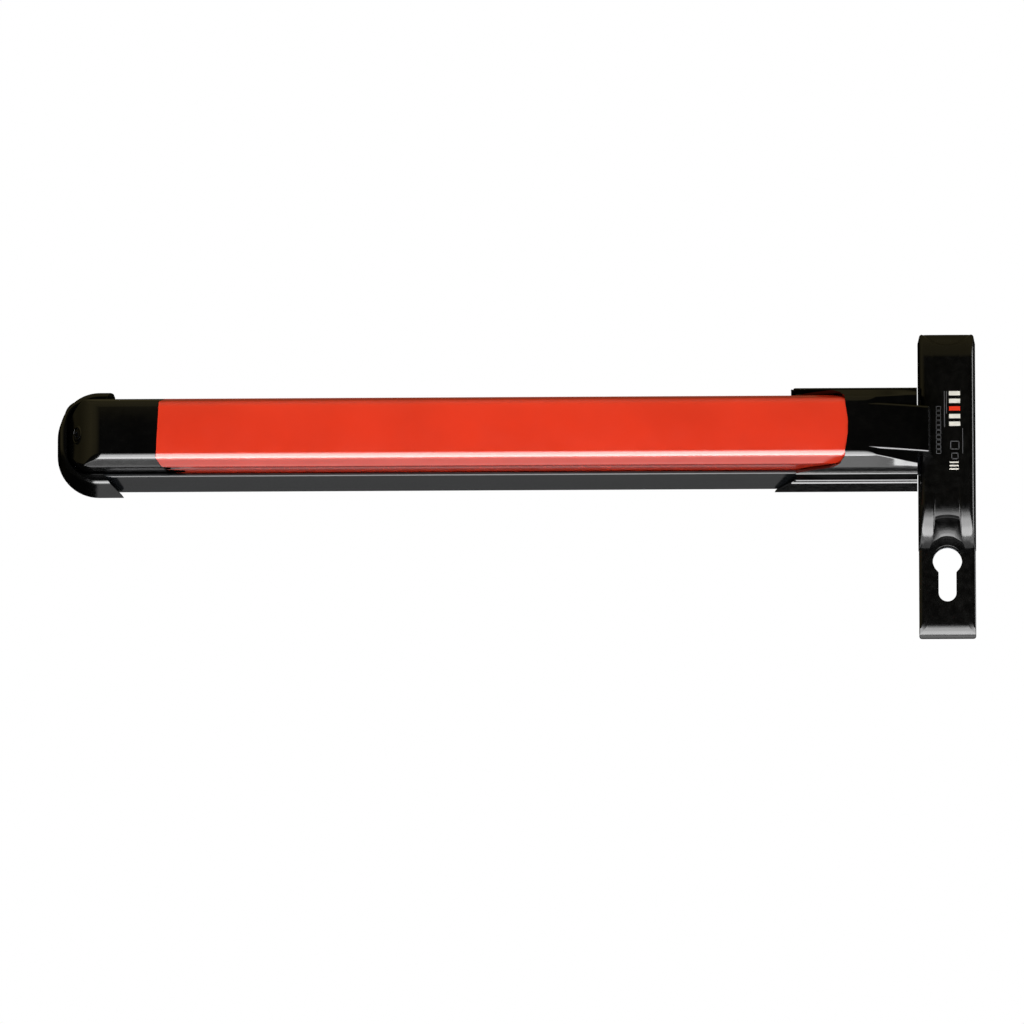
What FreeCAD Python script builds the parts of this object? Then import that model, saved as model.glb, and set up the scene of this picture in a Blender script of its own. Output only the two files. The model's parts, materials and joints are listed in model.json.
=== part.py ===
"""Touch-bar panic exit device for a narrow-stile door, with a Euro-profile cylinder plate.

A push bar slides towards the door in a U-shaped rail. Two bell-crank rockers keep it parallel and pull a
connecting rod, whose scotch yoke turns the square spindle of a mortise lock. Springs push the bar back out.

Frame: X runs along the bar towards the lock side, Y points into the door and Z is up. The origin is on the
door face at the axis of the lock spindle. Sizes are in millimetres. Most shapes are given by their distance
f in front of the door face, so a point (x, f, z) lies at (x, -f, z).
"""

import FreeCAD, Part  # noqa: E401  FreeCAD has to come first

import math
import os

# ---------------------------------------------------------------- driving dimensions
SPINDLE_TO_CYLINDER = 72.0  # centre distance of the mortise lock
SPINDLE_SQUARE = 9.0
TRAVEL = 16.0  # how far the push bar goes in
ARM_TO_BAR = 30.0  # rocker arm that carries the push bar
ARM_TO_ROD = 14.0  # rocker arm that pulls the connecting rod
CRANK_RADIUS = 10.0  # crank pin on the spindle hub
WEB_REACH = 17.1  # cross bar of the rocker, from its pivot
WEB_R = 2.0
SPRING_R = 6.5  # return spring's mean radius
SPRING_PITCH = 1.45
WIRE_R = 0.6

FLANGE_END_X = -530.5  # far end of the whole device
FLANGE_BASE = 30.3  # half height at the door
FLANGE_TOP = 27.4  # and at the ledge
FLANGE_F = 35.6
FLANGE_CORNER = 25.0  # radius of its two far corners, seen from the front
EAR_END_X = -490.5  # where the flange's sides end, at the door
UPPER_EAR_X = -496.0  # the upper side stops here
CAP_END_X = -522.5  # far end of the push bar's cap
CAP_SEAM_X = -468.7  # cap meets push bar, on the front flat
BAR_END_X = -48.0  # hidden end of the push bar, under the lock-side cover
RAIL_X = (-505.0, -64.0)
COVER_EDGE_X = -59.8  # lock-side cover's free edge, on the front flat
COVER_BASE_X = -102.7  # and at the door face
CASE_HALF = 17.2  # half width of the lock case

BAR_FRONT = 66.0  # push bar's front flat, from the door
BAR_FLAT = 16.8  # half height of that flat
BAR_HALF = 20.5  # half height of the push bar
BAR_EDGE_R = 4.2  # between the flat and the sloped flanks
BAR_CHAMFER_F = 54.0  # where the sloped flank ends
BAR_SKIRT_F = 27.5  # the skirt's free edge
WALL = 1.8

RAIL_FLOOR = 2.5
RAIL_BASE = 27.2  # half height at the door
RAIL_LIP = 22.9  # half height at the lip
RAIL_LIP_F = 32.8

COVER_FRONT = BAR_FRONT + 2.5
COVER_HALF = 23.4
COVER_BOX = 29.0  # half height of the cover's box over the rail
COVER_BOX_WALL = 1.5
COVER_BOX_F = 35.2

CASE_FRONT = 36.0
CASE_TOP = 62.8
CASE_BOTTOM = -65.0
PLATE_FRONT = 10.0  # the cylinder plate's front face
PLATE_BOTTOM = -118.0
BASE_PLATE = 2.5
BASE_HALF = 14.2  # half width of the base plate and of the cylinder plate's tongue

CYLINDER_R = 8.75
CYLINDER_SLOT_R = 5.3
CYLINDER_HEIGHT = 33.5
SCALLOP_R = 14.2  # finger scoop round the cylinder, by the plate
SCOOP_FLARE_R = 19.2  # where its flare ends
SCOOP_R = 23.4  # its recess in the case's front
SCOOP_FLARE_F = 18.0
SCOOP_LAND_F = 24.0

PIVOT_F = 24.0
PIVOT_R = 3.0
LEFT_PIVOT_X = -440.0
RIGHT_PIVOT_X = -150.0
BAR_PIN_R = 2.5
ROD_PIN_R = 2.0
FIT = 0.03  # radial play of a pin in a plain hole of its own body

SWING = math.asin(TRAVEL / 2 / ARM_TO_BAR)  # half of the rocker's turn
ROD_HALF_STROKE = ARM_TO_ROD * math.sin(SWING)
CRANK_HALF_TURN = math.asin(ROD_HALF_STROKE / CRANK_RADIUS)

ROD_F = (5.2, 15.0)  # the rod stands on edge
ROD_HALF = 1.5
YOKE_F = (15.0, 18.0)

NODES = {}


# ---------------------------------------------------------------- helpers
def at(x, f, z):
    return FreeCAD.Vector(x, -f, z)


PLACE = {  # how a flat outline's (u, v) and its extrusion w become a point
    "x": lambda u, v, w: at(w, v, u),  # u is z, v is f
    "y": lambda u, v, w: at(u, w, v),  # u is x, v is z
    "z": lambda u, v, w: at(u, v, w),  # u is x, v is f
}


def rounded_wire(corners, place):
    """Closed wire through (u, v) or (u, v, radius) corners, whose rounded corners are tangent arcs."""
    flat = [FreeCAD.Vector(c[0], c[1], 0) for c in corners]
    stretches = []
    for i, corner in enumerate(corners):
        here, before, after = flat[i], flat[i - 1], flat[(i + 1) % len(flat)]
        radius = corner[2] if len(corner) > 2 else 0.0
        if radius <= 0:
            stretches.append((here, None, here))
            continue
        back = (before - here).normalize()
        on = (after - here).normalize()
        half = back.getAngle(on) / 2
        middle = (back + on).normalize()
        centre = here + middle * (radius / math.sin(half))
        reach = radius / math.tan(half)
        stretches.append((here + back * reach, centre - middle * radius, here + on * reach))
    edges = []
    for i, (start, middle, end) in enumerate(stretches):
        if middle is not None:
            edges.append(Part.Arc(place(start), place(middle), place(end)).toShape())
        following = stretches[(i + 1) % len(stretches)][0]
        if (following - end).Length > 1e-6:
            edges.append(Part.LineSegment(place(end), place(following)).toShape())
    return Part.Wire(edges)


def prism(corners, axis, start, end):
    """Solid with that outline, from start to end along an axis: x, y (from the door outwards) or z."""
    place = PLACE[axis]
    wire = rounded_wire(corners, lambda p: place(p.x, p.y, start))
    return Part.Face(wire).extrude(place(0, 0, end) - place(0, 0, start))


def mirrored(half):
    """Closed outline from its half with u > 0, listed from the first v to the last."""
    other = [(-c[0], *c[1:]) for c in reversed(half)]
    return list(half) + other


def box(x, f, z):
    """Box between pairs of limits."""
    return Part.makeBox(x[1] - x[0], f[1] - f[0], z[1] - z[0], FreeCAD.Vector(x[0], -f[1], z[0]))


def rod(start, end, radius):
    """Round bar between two points."""
    along = end - start
    return Part.makeCylinder(radius, along.Length, start, along)


def link(a, b, radius, z):
    """Plate with two round ends, between points a and b given as (x, f), from z[0] to z[1]."""
    ends = [rod(at(p[0], p[1], z[0]), at(p[0], p[1], z[1]), radius) for p in (a, b)]
    along = FreeCAD.Vector(b[0] - a[0], b[1] - a[1], 0).normalize() * radius
    corners = [
        (a[0] - along.y, a[1] + along.x),
        (b[0] - along.y, b[1] + along.x),
        (b[0] + along.y, b[1] - along.x),
        (a[0] + along.y, a[1] - along.x),
    ]
    return prism(corners, "z", *z).fuse(ends).removeSplitter()


def fused(shapes):
    return shapes[0].fuse(shapes[1:]).removeSplitter()


def both_sides(shape):
    """The shape and its mirror image across the bar's middle plane."""
    return [shape, shape.mirror(FreeCAD.Vector(0, 0, 0), FreeCAD.Vector(0, 0, 1))]


def screw(seat, out, shank, length, head=None, height=2.4, across=3.0):
    """Socket screw whose head sits on a point and stands out along a direction."""
    out = FreeCAD.Vector(out).normalize()
    head = head or shank * 1.75
    body = rod(seat - out * length, seat, shank).fuse(rod(seat, seat + out * height, head))
    side = out.cross(FreeCAD.Vector(0, 0, 1) if abs(out.z) < 0.9 else FreeCAD.Vector(1, 0, 0)).normalize()
    top = seat + out * height
    ring = []
    for i in range(7):
        turn = FreeCAD.Rotation(out, 60 * i)
        ring.append(top + turn.multVec(side) * (across / math.sqrt(3)))
    socket = Part.Face(Part.makePolygon(ring)).extrude(out * (-height * 0.6))
    return body.removeSplitter().cut(socket)


def compound(solids):
    return Part.makeCompound(solids)


# ---------------------------------------------------------------- push bar and its end cap
def bar_outline(grow=0.0, skirt=BAR_SKIRT_F):
    """Push-bar section, grown by that much on every side."""
    return mirrored(
        [
            (BAR_HALF + grow, skirt),
            (BAR_HALF + grow, BAR_CHAMFER_F, 6.0 + grow),
            (BAR_FLAT + grow * 0.8, BAR_FRONT + grow, BAR_EDGE_R + grow),
        ]
    )


def seam_region(x_flat, shift, keep_left):
    """Everything to one side of a seam that leans back along the flanks, as seen from above."""
    lean = 6.5
    curve = Part.BSplineCurve()
    curve.interpolate(
        [
            at(x_flat + shift, BAR_FRONT + 12, -60),
            at(x_flat + shift, BAR_FRONT - 3, -60),
            at(x_flat + shift + 0.6 * lean, BAR_CHAMFER_F - 4, -60),
            at(x_flat + shift + lean, BAR_SKIRT_F, -60),
            at(x_flat + shift + lean, -12, -60),
        ]
    )
    far = x_flat - 120 if keep_left else x_flat + 500
    front, back = curve.value(curve.FirstParameter), curve.value(curve.LastParameter)
    corner_back = at(far, -back.y, -60)
    corner_front = at(far, -front.y, -60)
    edges = [
        curve.toShape(),
        Part.LineSegment(back, corner_back).toShape(),
        Part.LineSegment(corner_back, corner_front).toShape(),
        Part.LineSegment(corner_front, front).toShape(),
    ]
    return Part.Face(Part.Wire(edges)).extrude(FreeCAD.Vector(0, 0, 120))


def chamber_outline(gap):
    """Closed chamber behind the push bar's front, less a gap all round."""
    half = BAR_HALF - WALL - gap
    low, shoulder, high = 49.8 + gap, BAR_CHAMFER_F - 0.6 - gap, BAR_FRONT - WALL - gap
    return mirrored([(half, low, 1.0), (half, shoulder, 3.0), (BAR_FLAT - 1.3 - gap, high, 2.0)])


def push_bar():
    """Aluminium extrusion: closed front chamber, open skirts with feet that hook under the rail's lips."""
    start, end = CAP_SEAM_X - 4, BAR_END_X
    outer = prism(bar_outline(), "x", start, end)
    chamber = prism(chamber_outline(0.0), "x", start - 1, end + 1)
    channel = prism(mirrored([(BAR_HALF - WALL, 0), (BAR_HALF - WALL, 48.0, 1.0)]), "x", start - 1, end + 1)
    shape = outer.cut([chamber, channel])
    root, tip = BAR_HALF - 0.4, BAR_HALF + 1.2
    low = BAR_SKIRT_F
    foot = prism([(root, low), (tip, low), (tip, low + 1.7), (root, low + 2.9)], "x", start, end)
    shape = shape.fuse(both_sides(foot)).removeSplitter()
    shape = shape.common(seam_region(CAP_SEAM_X, 0.15, keep_left=False))
    holes = [rod(at(x, 40, z), at(x, 56, z), 2.0) for x, z in hanger_screw_places()]
    return shape.cut(holes)


def cap_solid(inset):
    """End cap's outer form, moved inwards by inset: bar section, rounded down at its free end."""
    end = CAP_END_X + inset
    body = prism(bar_outline(-inset, skirt=26.0 if inset == 0 else 20.0), "x", end, CAP_SEAM_X + 12)
    side_view = [
        (end, 10),
        (end, 30.0, 10.0 - inset),
        (end + 9.5, 57.5 - inset, 16.0 - inset),
        (end + 23.0, BAR_FRONT - inset, 20.0 - inset),
        (CAP_SEAM_X + 20, BAR_FRONT - inset),
        (CAP_SEAM_X + 20, 10),
    ]
    front_view = [
        (end, -BAR_HALF + inset, 11.0 - inset),
        (CAP_SEAM_X + 20, -BAR_HALF + inset),
        (CAP_SEAM_X + 20, BAR_HALF - inset),
        (end, BAR_HALF - inset, 11.0 - inset),
    ]
    return body.common(prism(side_view, "z", -60, 60)).common(prism(front_view, "y", 0, 80))


CAP_SCREW_F = 40.5
CAP_SCREW_SEAT_X = -515.0
ANCHOR_X = (-461.4, -449.7)


def push_bar_end_cap():
    """Moulded cap that closes the bar's far end, with a boss for its screw and a spigot into the bar."""
    shell = cap_solid(0).cut(cap_solid(2.0))
    boss = rod(at(CAP_END_X - 1, CAP_SCREW_F, 0), at(CAP_SEAM_X - 2, CAP_SCREW_F, 0), 5.8)
    shell = shell.fuse(boss.common(cap_solid(0)))
    counterbore = rod(at(CAP_END_X - 5, CAP_SCREW_F, 0), at(CAP_SCREW_SEAT_X, CAP_SCREW_F, 0), 4.1)
    bore = rod(at(CAP_SCREW_SEAT_X - 5, CAP_SCREW_F, 0), at(CAP_SEAM_X + 10, CAP_SCREW_F, 0), 2.6)
    shell = shell.cut([counterbore, bore]).common(seam_region(CAP_SEAM_X, -0.15, keep_left=True))
    return shell.removeSplitter()


def end_cap_anchor():
    """Block between the bar's skirts, under its web, that the cap's screw bites into."""
    half = BAR_HALF - WALL - 0.05
    block = prism(mirrored([(half, 34.0, 1.0), (half, 47.95, 1.1)]), "x", *ANCHOR_X)
    return block.cut(rod(at(-470, CAP_SCREW_F, 0), at(-440, CAP_SCREW_F, 0), 2.5 + FIT))


def end_cap_screw():
    seat = at(CAP_SCREW_SEAT_X, CAP_SCREW_F, 0)
    return screw(seat, at(-1, 0, 0), 2.5, 60.0, head=3.9, height=3.0, across=3.4)


def bar_end_plug():
    """Plastic plug that closes the bar's hidden end."""
    plug = prism(chamber_outline(0.3), "x", BAR_END_X - 14.0, BAR_END_X)
    face = prism(bar_outline(-0.3, skirt=28.0), "x", BAR_END_X, BAR_END_X + 1.8)
    rod_clearance = box((BAR_END_X - 1, BAR_END_X + 3), (20, ROD_F[1] + TRAVEL + 1.5), (-4, 4))
    return plug.fuse(face.cut(rod_clearance)).removeSplitter()


# ---------------------------------------------------------------- rail and its end flange
def rail_outline(grow=0.0):
    return mirrored([(RAIL_BASE + grow, -grow), (RAIL_LIP + grow, RAIL_LIP_F + grow)])


def rail_fixing_holes():
    """Door-screw places (x, z) at the far end and at the lock side."""
    return [(x, z) for x in (-514.0, -486.0, -88.0, -44.0) for z in (-12.0, 12.0)]


def chassis_rail():
    """Aluminium extrusion, open to the front, whose lips turn inwards to hold the push bar's feet."""
    half = [
        (RAIL_BASE, 0, 1.0),
        (RAIL_LIP, RAIL_LIP_F, 0.9),
        (20.9, RAIL_LIP_F, 0.7),
        (20.9, 31.0),
        (21.9, 30.7),
        (RAIL_BASE - 2.15, RAIL_FLOOR, 1.0),
    ]
    shape = prism(rail_loop(half), "x", *RAIL_X)
    cuts = [rod(at(x, -1, z), at(x, 5, z), 2.75) for x, z in rail_fixing_holes()]
    cuts += [rod(at(x, -1, z), at(x, 5, z), 2.0 + FIT) for x, z in bracket_screw_places()]
    return shape.cut(cuts)


def rail_loop(half):
    """The U section's closed loop from its right half, outside first."""
    left = [(-c[0], *c[1:]) for c in reversed(half)]
    return half + left


def flange_solid(inset):
    """End flange's outer form: drafted box with rounded far corners, moved inwards by inset."""
    edge = 2.6 - inset * 0.8
    back = -1.0 if inset else 0.0
    section = mirrored([(FLANGE_BASE - inset, back), (FLANGE_TOP - inset, FLANGE_F - inset, edge)])
    body = prism(section, "x", FLANGE_END_X + inset, -470)
    far_corner = FLANGE_CORNER - inset
    front_view = [
        (FLANGE_END_X + inset, -FLANGE_BASE + inset, far_corner),
        (-460, -FLANGE_BASE + inset),
        (-460, FLANGE_BASE - inset),
        (FLANGE_END_X + inset, FLANGE_BASE - inset, far_corner),
    ]
    side_view = [
        (FLANGE_END_X + inset, -2),
        (FLANGE_END_X + 3.0 + inset, FLANGE_F - inset, edge),
        (-460, FLANGE_F - inset),
        (-460, -2),
    ]
    return body.common(prism(front_view, "y", -2, 60)).common(prism(side_view, "z", -40, 40))


def flange_opening(grow=0.0):
    """Outline (x, z) of the room in which the push bar's cap moves."""
    half = BAR_HALF + 0.8 + grow
    end = CAP_END_X - 0.8 - grow
    return [(end, -half, 11.6 + grow), (-450, -half), (-450, half), (end, half, 11.6 + grow)]


def ear_trim(side):
    """Room beyond the flange's leaning end on one side: it leans back towards the front and the middle."""

    def edge(f, z):
        return EAR_END_X - 0.143 * f - 0.7 * (FLANGE_BASE - z)

    rings = []
    for f in (-2.0, 40.0):
        corners = [(edge(f, z), z) for z in (15.0, 36.0)] + [(-440.0, 36.0), (-440.0, 15.0)]
        points = [at(x, f, side * z) for x, z in corners]
        rings.append(Part.makePolygon([*points, points[0]]))
    return Part.makeLoft(rings, True, True)


def rail_end_flange():
    """Moulded bezel round the rail's far end. The cap of the push bar moves in its opening."""
    hollow = flange_solid(2.0).cut(prism(flange_opening(1.8), "y", -2, 60))
    rail_room = prism(rail_outline(0.3), "x", RAIL_X[0] - 0.3, -450)
    shape = flange_solid(0).common(box((-540, EAR_END_X), (-1, 60), (-40, 40)))
    shape = shape.cut(box((UPPER_EAR_X, -480), (-1, 60), (0, 40)))
    return shape.cut([hollow, prism(flange_opening(), "y", -1, 60), rail_room, ear_trim(1), ear_trim(-1)])


def flange_base_plate():
    """Floor of the flange's opening, against the door, between the rail's end and the rounded end."""
    outline = flange_opening(-0.1)
    far_part = box((-540, RAIL_X[0] - 0.3), (0, RAIL_FLOOR), (-40, 40))
    plate = prism(outline, "y", 0, RAIL_FLOOR).common(far_part)
    return plate.cut([rod(at(x, -1, z), at(x, 5, z), 2.75) for x, z in rail_fixing_holes()[:2]])


def rail_end_bracket():
    """Steel plate inside the rail's far end. Its screws clamp flange and rail to the door."""
    plate = [(-520, -17, 5), (-474, -17, 2), (-474, 17, 2), (-520, 17, 5)]
    shape = prism(plate, "y", RAIL_FLOOR, RAIL_FLOOR + 2.5)
    return shape.cut([rod(at(x, 0, z), at(x, 8, z), 2.75) for x, z in rail_fixing_holes()[:4]])


# ---------------------------------------------------------------- rockers
def rocker_places():
    return {"left": LEFT_PIVOT_X, "right": RIGHT_PIVOT_X}


def bar_pin_place(pivot_x):
    """(x, f) of the push-bar pin at rest."""
    return pivot_x + ARM_TO_BAR * math.cos(SWING), PIVOT_F + TRAVEL / 2


def rod_pin_place(pivot_x):
    """(x, f) of the connecting-rod pin at rest."""
    return pivot_x + ROD_HALF_STROKE, PIVOT_F - ARM_TO_ROD * math.cos(SWING)


def bracket_screw_places():
    return [(px + dx, z) for px in rocker_places().values() for dx in (-12.5, 12.5) for z in (-7.5, 7.5)]


def rocker_bracket(pivot_x):
    """Folded steel bracket with two ears for the pivot pin."""
    base = [
        (pivot_x - 17, -13.2, 2),
        (pivot_x + 17, -13.2, 2),
        (pivot_x + 17, 13.2, 2),
        (pivot_x - 17, 13.2, 2),
    ]
    plate = prism(base, "y", RAIL_FLOOR, 4.5)
    ear = prism(
        [(pivot_x - 10, 3), (pivot_x + 10, 3), (pivot_x + 5.5, 29, 4.5), (pivot_x - 5.5, 29, 4.5)],
        "z",
        11.2,
        13.2,
    )
    shape = fused([plate, *both_sides(ear)])
    cuts = [rod(at(pivot_x, PIVOT_F, -20), at(pivot_x, PIVOT_F, 20), PIVOT_R + FIT)]
    cuts += [rod(at(x, 0, z), at(x, 8, z), 2.15) for x, z in bracket_screw_places() if abs(x - pivot_x) < 20]
    cuts += both_sides(rod(at(pivot_x - SPRING_R, 0, 5.9), at(pivot_x - SPRING_R, 8, 5.9), WIRE_R + 0.15))
    return shape.cut(cuts)


def rocker(pivot_x):
    """Bell crank: two cheeks on a common barrel, joined by a web that the spring pushes on."""
    pivot = (pivot_x, PIVOT_F)
    bar_pin, rod_pin = bar_pin_place(pivot_x), rod_pin_place(pivot_x)
    cheek = fused([link(pivot, bar_pin, 4.6, (7.4, 10.6)), link(pivot, rod_pin, 4.0, (7.4, 10.6))])
    web_x, web_f = pivot_x + WEB_REACH * math.cos(SWING), PIVOT_F + WEB_REACH * math.sin(SWING)
    web = rod(at(web_x, web_f, -8), at(web_x, web_f, 8), WEB_R)
    barrel = rod(at(*pivot, -10.6), at(*pivot, 10.6), 5.2)
    shape = fused([*both_sides(cheek), barrel, web])
    return shape.cut(
        [
            rod(at(*pivot, -20), at(*pivot, 20), 4.0 + FIT),
            rod(at(*bar_pin, -20), at(*bar_pin, 20), BAR_PIN_R + FIT),
            rod(at(*rod_pin, -20), at(*rod_pin, 20), ROD_PIN_R + FIT),
        ]
    )


def rocker_bush(pivot_x):
    """Plastic bearing pressed in the rocker's barrel, with a collar each side."""
    tube = rod(at(pivot_x, PIVOT_F, -10.9), at(pivot_x, PIVOT_F, 10.9), 4.0)
    return tube.cut(rod(at(pivot_x, PIVOT_F, -20), at(pivot_x, PIVOT_F, 20), PIVOT_R + 0.06))


def pivot_pin(pivot_x):
    pin = rod(at(pivot_x, PIVOT_F, -15.6), at(pivot_x, PIVOT_F, 15.6), PIVOT_R)
    groove = rod(at(pivot_x, PIVOT_F, 13.6), at(pivot_x, PIVOT_F, 14.4), 6)
    groove = groove.cut(rod(at(pivot_x, PIVOT_F, 13), at(pivot_x, PIVOT_F, 15), 2.4))
    return pin.cut(both_sides(groove))


def retaining_clip(x, f, z, outer):
    """E-clip in a pin's groove, open to one side."""
    ring = rod(at(x, f, z), at(x, f, z + 0.7), outer).cut(rod(at(x, f, z - 1), at(x, f, z + 2), 2.42))
    return ring.cut(box((x - 1.7, x + 1.7), (f - outer - 1, f), (z - 1, z + 2)))


def torsion_spring(pivot_x):
    """Coil round the rocker's barrel, from a hole in the bracket to the back of the rocker's web."""
    gap = SPRING_R + WEB_R + WIRE_R + 0.05
    leave = SWING + math.acos(gap / WEB_REACH)  # where the moving leg leaves the coil
    turns = 3 + (math.pi - leave) / (2 * math.pi)
    low = -5.9
    top = low + SPRING_PITCH * turns
    ring = Part.Wire(Part.makeCircle(WIRE_R, at(SPRING_R, 0, 0), FreeCAD.Vector(0, 1, 0.035)))
    helix = Part.Wire(Part.makeHelix(SPRING_PITCH, SPRING_PITCH * turns, SPRING_R))
    coil = helix.makePipeShell([ring], True, True)
    coil.rotate(at(0, 0, 0), at(0, 0, 1), 180)
    coil.translate(at(pivot_x, PIVOT_F, low))
    fixed = rod(at(pivot_x - SPRING_R, PIVOT_F, low), at(pivot_x - SPRING_R, 3.2, low), WIRE_R)
    leg = at(pivot_x + SPRING_R * math.cos(leave), PIVOT_F + SPRING_R * math.sin(leave), top)
    moving = rod(leg, leg + at(math.sin(leave), -math.cos(leave), 0) * (WEB_REACH + 1.0), WIRE_R)
    return compound([coil, fixed, moving])


def hanger(pivot_x):
    """Folded steel bracket screwed in the push bar, whose slots take the rocker's pin."""
    pin_x, pin_f = bar_pin_place(pivot_x)
    web_half = 15.0
    web = box((pin_x - web_half, pin_x + web_half), (46.0, 48.0), (-17.6, 17.6))
    ear = prism(
        [
            (pin_x - web_half, 46.5),
            (pin_x - web_half, 42),
            (pin_x - 7, 26.8, 4),
            (pin_x + 7, 26.8, 4),
            (pin_x + web_half, 42),
            (pin_x + web_half, 46.5),
        ],
        "z",
        14.4,
        16.4,
    )
    shape = fused([web, *both_sides(ear)])
    give = ARM_TO_BAR * (1 - math.cos(SWING)) + 0.35
    slot = link((pin_x - 0.35, pin_f), (pin_x + give, pin_f), BAR_PIN_R + 0.2, (-20, 20))
    holes = [rod(at(x, 40, z), at(x, 56, z), 2.1) for x, z in hanger_screw_places() if abs(x - pin_x) < 20]
    return shape.cut([slot, *holes])


def hanger_screw_places():
    return [(bar_pin_place(px)[0] + dx, 0.0) for px in rocker_places().values() for dx in (-10.0, 10.0)]


def hanger_screws():
    back = at(0, -1, 0)
    seats = [at(x, 46.0, z) for x, z in hanger_screw_places()]
    return compound([screw(seat, back, 2.0, 7.0, head=3.6, height=2.2, across=2.5) for seat in seats])


def bracket_screws():
    out = at(0, 1, 0)
    seats = [at(x, 4.5, z) for x, z in bracket_screw_places()]
    return compound([screw(seat, out, 2.0, 4.0, head=3.4, height=2.0, across=2.5) for seat in seats])


# ---------------------------------------------------------------- connecting rod and spindle hub
YOKE_X = (-34.0, 9.5)


def connecting_rod():
    """Flat steel bar on edge, with upright slots for the rocker pins."""
    start = rod_pin_place(LEFT_PIVOT_X)[0] - 9
    bar = box((start, -18.0), ROD_F, (-ROD_HALF, ROD_HALF))
    slots = []
    for pivot_x in rocker_places().values():
        x, f = rod_pin_place(pivot_x)
        low = PIVOT_F - ARM_TO_ROD
        slots.append(link((x, low - 0.2), (x, f + 0.2), ROD_PIN_R + 0.15, (-3, 3)))
        pin_x = bar_pin_place(pivot_x)[0]
        slots.append(box((pin_x - 6, pin_x + 2 * ROD_HALF_STROKE + 6), (12.6, 16), (-3, 3)))
    tab = prism([(-33, 13.0, 1), (-19, 13.0, 1), (-19, 15.0), (-33, 15.0)], "z", -7.5, 7.5)
    shape = bar.cut(slots).fuse(tab).removeSplitter()
    holes = [rod(at(x, 10, z), at(x, 16, z), 1.5 + FIT) for x, z in yoke_screw_places()]
    return shape.cut(holes)


def yoke_screw_places():
    return [(-26.0, -5.0), (-26.0, 5.0)]


def drive_yoke():
    """Steel plate whose upright slot moves the crank pin."""
    outline = [
        (YOKE_X[0], -8, 2),
        (-20, -8, 3),
        (-12, 2, 3),
        (YOKE_X[1], 2, 3),
        (YOKE_X[1], 16.5, 3),
        (-12, 16.5, 6),
        (-22, 8, 3),
        (YOKE_X[0], 8, 2),
    ]
    plate = prism(outline, "y", *YOKE_F)
    crank_x, crank_z = crank_pin_place()
    slot_low, slot_high = crank_z - 0.3, CRANK_RADIUS + 0.3
    half = ROD_PIN_R + 0.5 + 0.2
    slot = [
        (crank_x - half, slot_low - half, half - 0.01),
        (crank_x + half, slot_low - half, half - 0.01),
        (crank_x + half, slot_high + half, half - 0.01),
        (crank_x - half, slot_high + half, half - 0.01),
    ]
    cuts = [prism(slot, "y", 10, 25)]
    cuts += [rod(at(x, 10, z), at(x, 25, z), 1.6) for x, z in yoke_screw_places()]
    return plate.cut(cuts)


def yoke_screws():
    out = at(0, 1, 0)
    seats = [at(x, YOKE_F[1], z) for x, z in yoke_screw_places()]
    return compound([screw(seat, out, 1.5, 4.6, head=2.7, height=1.8, across=2.0) for seat in seats])


def crank_pin_place():
    """(x, z) of the crank pin at rest."""
    return CRANK_RADIUS * math.sin(CRANK_HALF_TURN), CRANK_RADIUS * math.cos(CRANK_HALF_TURN)


def square_prism(side, f_from, f_to):
    """Square bar along the spindle axis, turned with the crank at rest."""
    bar = box((-side / 2, side / 2), (f_from, f_to), (-side / 2, side / 2))
    return bar


def spindle_hub():
    """Follower: journal in the base plate's bush, square hole and a crank arm in front."""
    crank_x, crank_z = crank_pin_place()
    journal = rod(at(0, 0.4, 0), at(0, 7.0, 0), 8.0)
    disc = rod(at(0, 7.0, 0), at(0, 11.5, 0), 11.0)
    tip = crank_z + 4.6
    arm_outline = [(crank_x - 5, 0), (crank_x + 5, 0), (crank_x + 4.6, tip, 4.4), (crank_x - 4.6, tip, 4.4)]
    arm = prism(arm_outline, "y", 7.0, 11.5)
    shape = fused([journal, disc, arm])
    crank_hole = rod(at(crank_x, 5, crank_z), at(crank_x, 25, crank_z), 2.5 + FIT)
    set_hole = rod(at(0, 9.2, -12), at(0, 9.2, -4), 1.5 + FIT)
    return shape.cut([square_prism(SPINDLE_SQUARE + 0.1, -1, 25), crank_hole, set_hole])


def crank_pin():
    crank_x, crank_z = crank_pin_place()
    return rod(at(crank_x, 7.2, crank_z), at(crank_x, 18.6, crank_z), 2.5)


def lock_spindle():
    """Square steel bar that enters the mortise lock, with chamfered ends."""
    bar = square_prism(SPINDLE_SQUARE, -45.0, 11.0)
    round_bar = rod(at(0, -46, 0), at(0, 12, 0), SPINDLE_SQUARE * 0.68)
    tip = Part.makeCone(SPINDLE_SQUARE * 0.45, SPINDLE_SQUARE * 0.72, 4, at(0, -45, 0), at(0, 1, 0))
    rest = rod(at(0, -41.0, 0), at(0, 12, 0), SPINDLE_SQUARE)
    dimple = rod(at(0, 9.2, -12), at(0, 9.2, -3.6), 1.5 + FIT)
    return bar.common(round_bar).common(tip.fuse(rest)).cut(dimple)


def spindle_set_screw():
    return rod(at(0, 9.2, -10.6), at(0, 9.2, -3.8), 1.5).cut(rod(at(0, 9.2, -12), at(0, 9.2, -9.2), 0.8))


def hub_bush():
    """Flanged bearing in the base plate."""
    ring = rod(at(0, 0.4, 0), at(0, 5.0, 0), 9.8).fuse(rod(at(0, 5.0, 0), at(0, 6.7, 0), 12.0))
    return ring.removeSplitter().cut(rod(at(0, -1, 0), at(0, 10, 0), 8.0 + 0.06))


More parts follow.
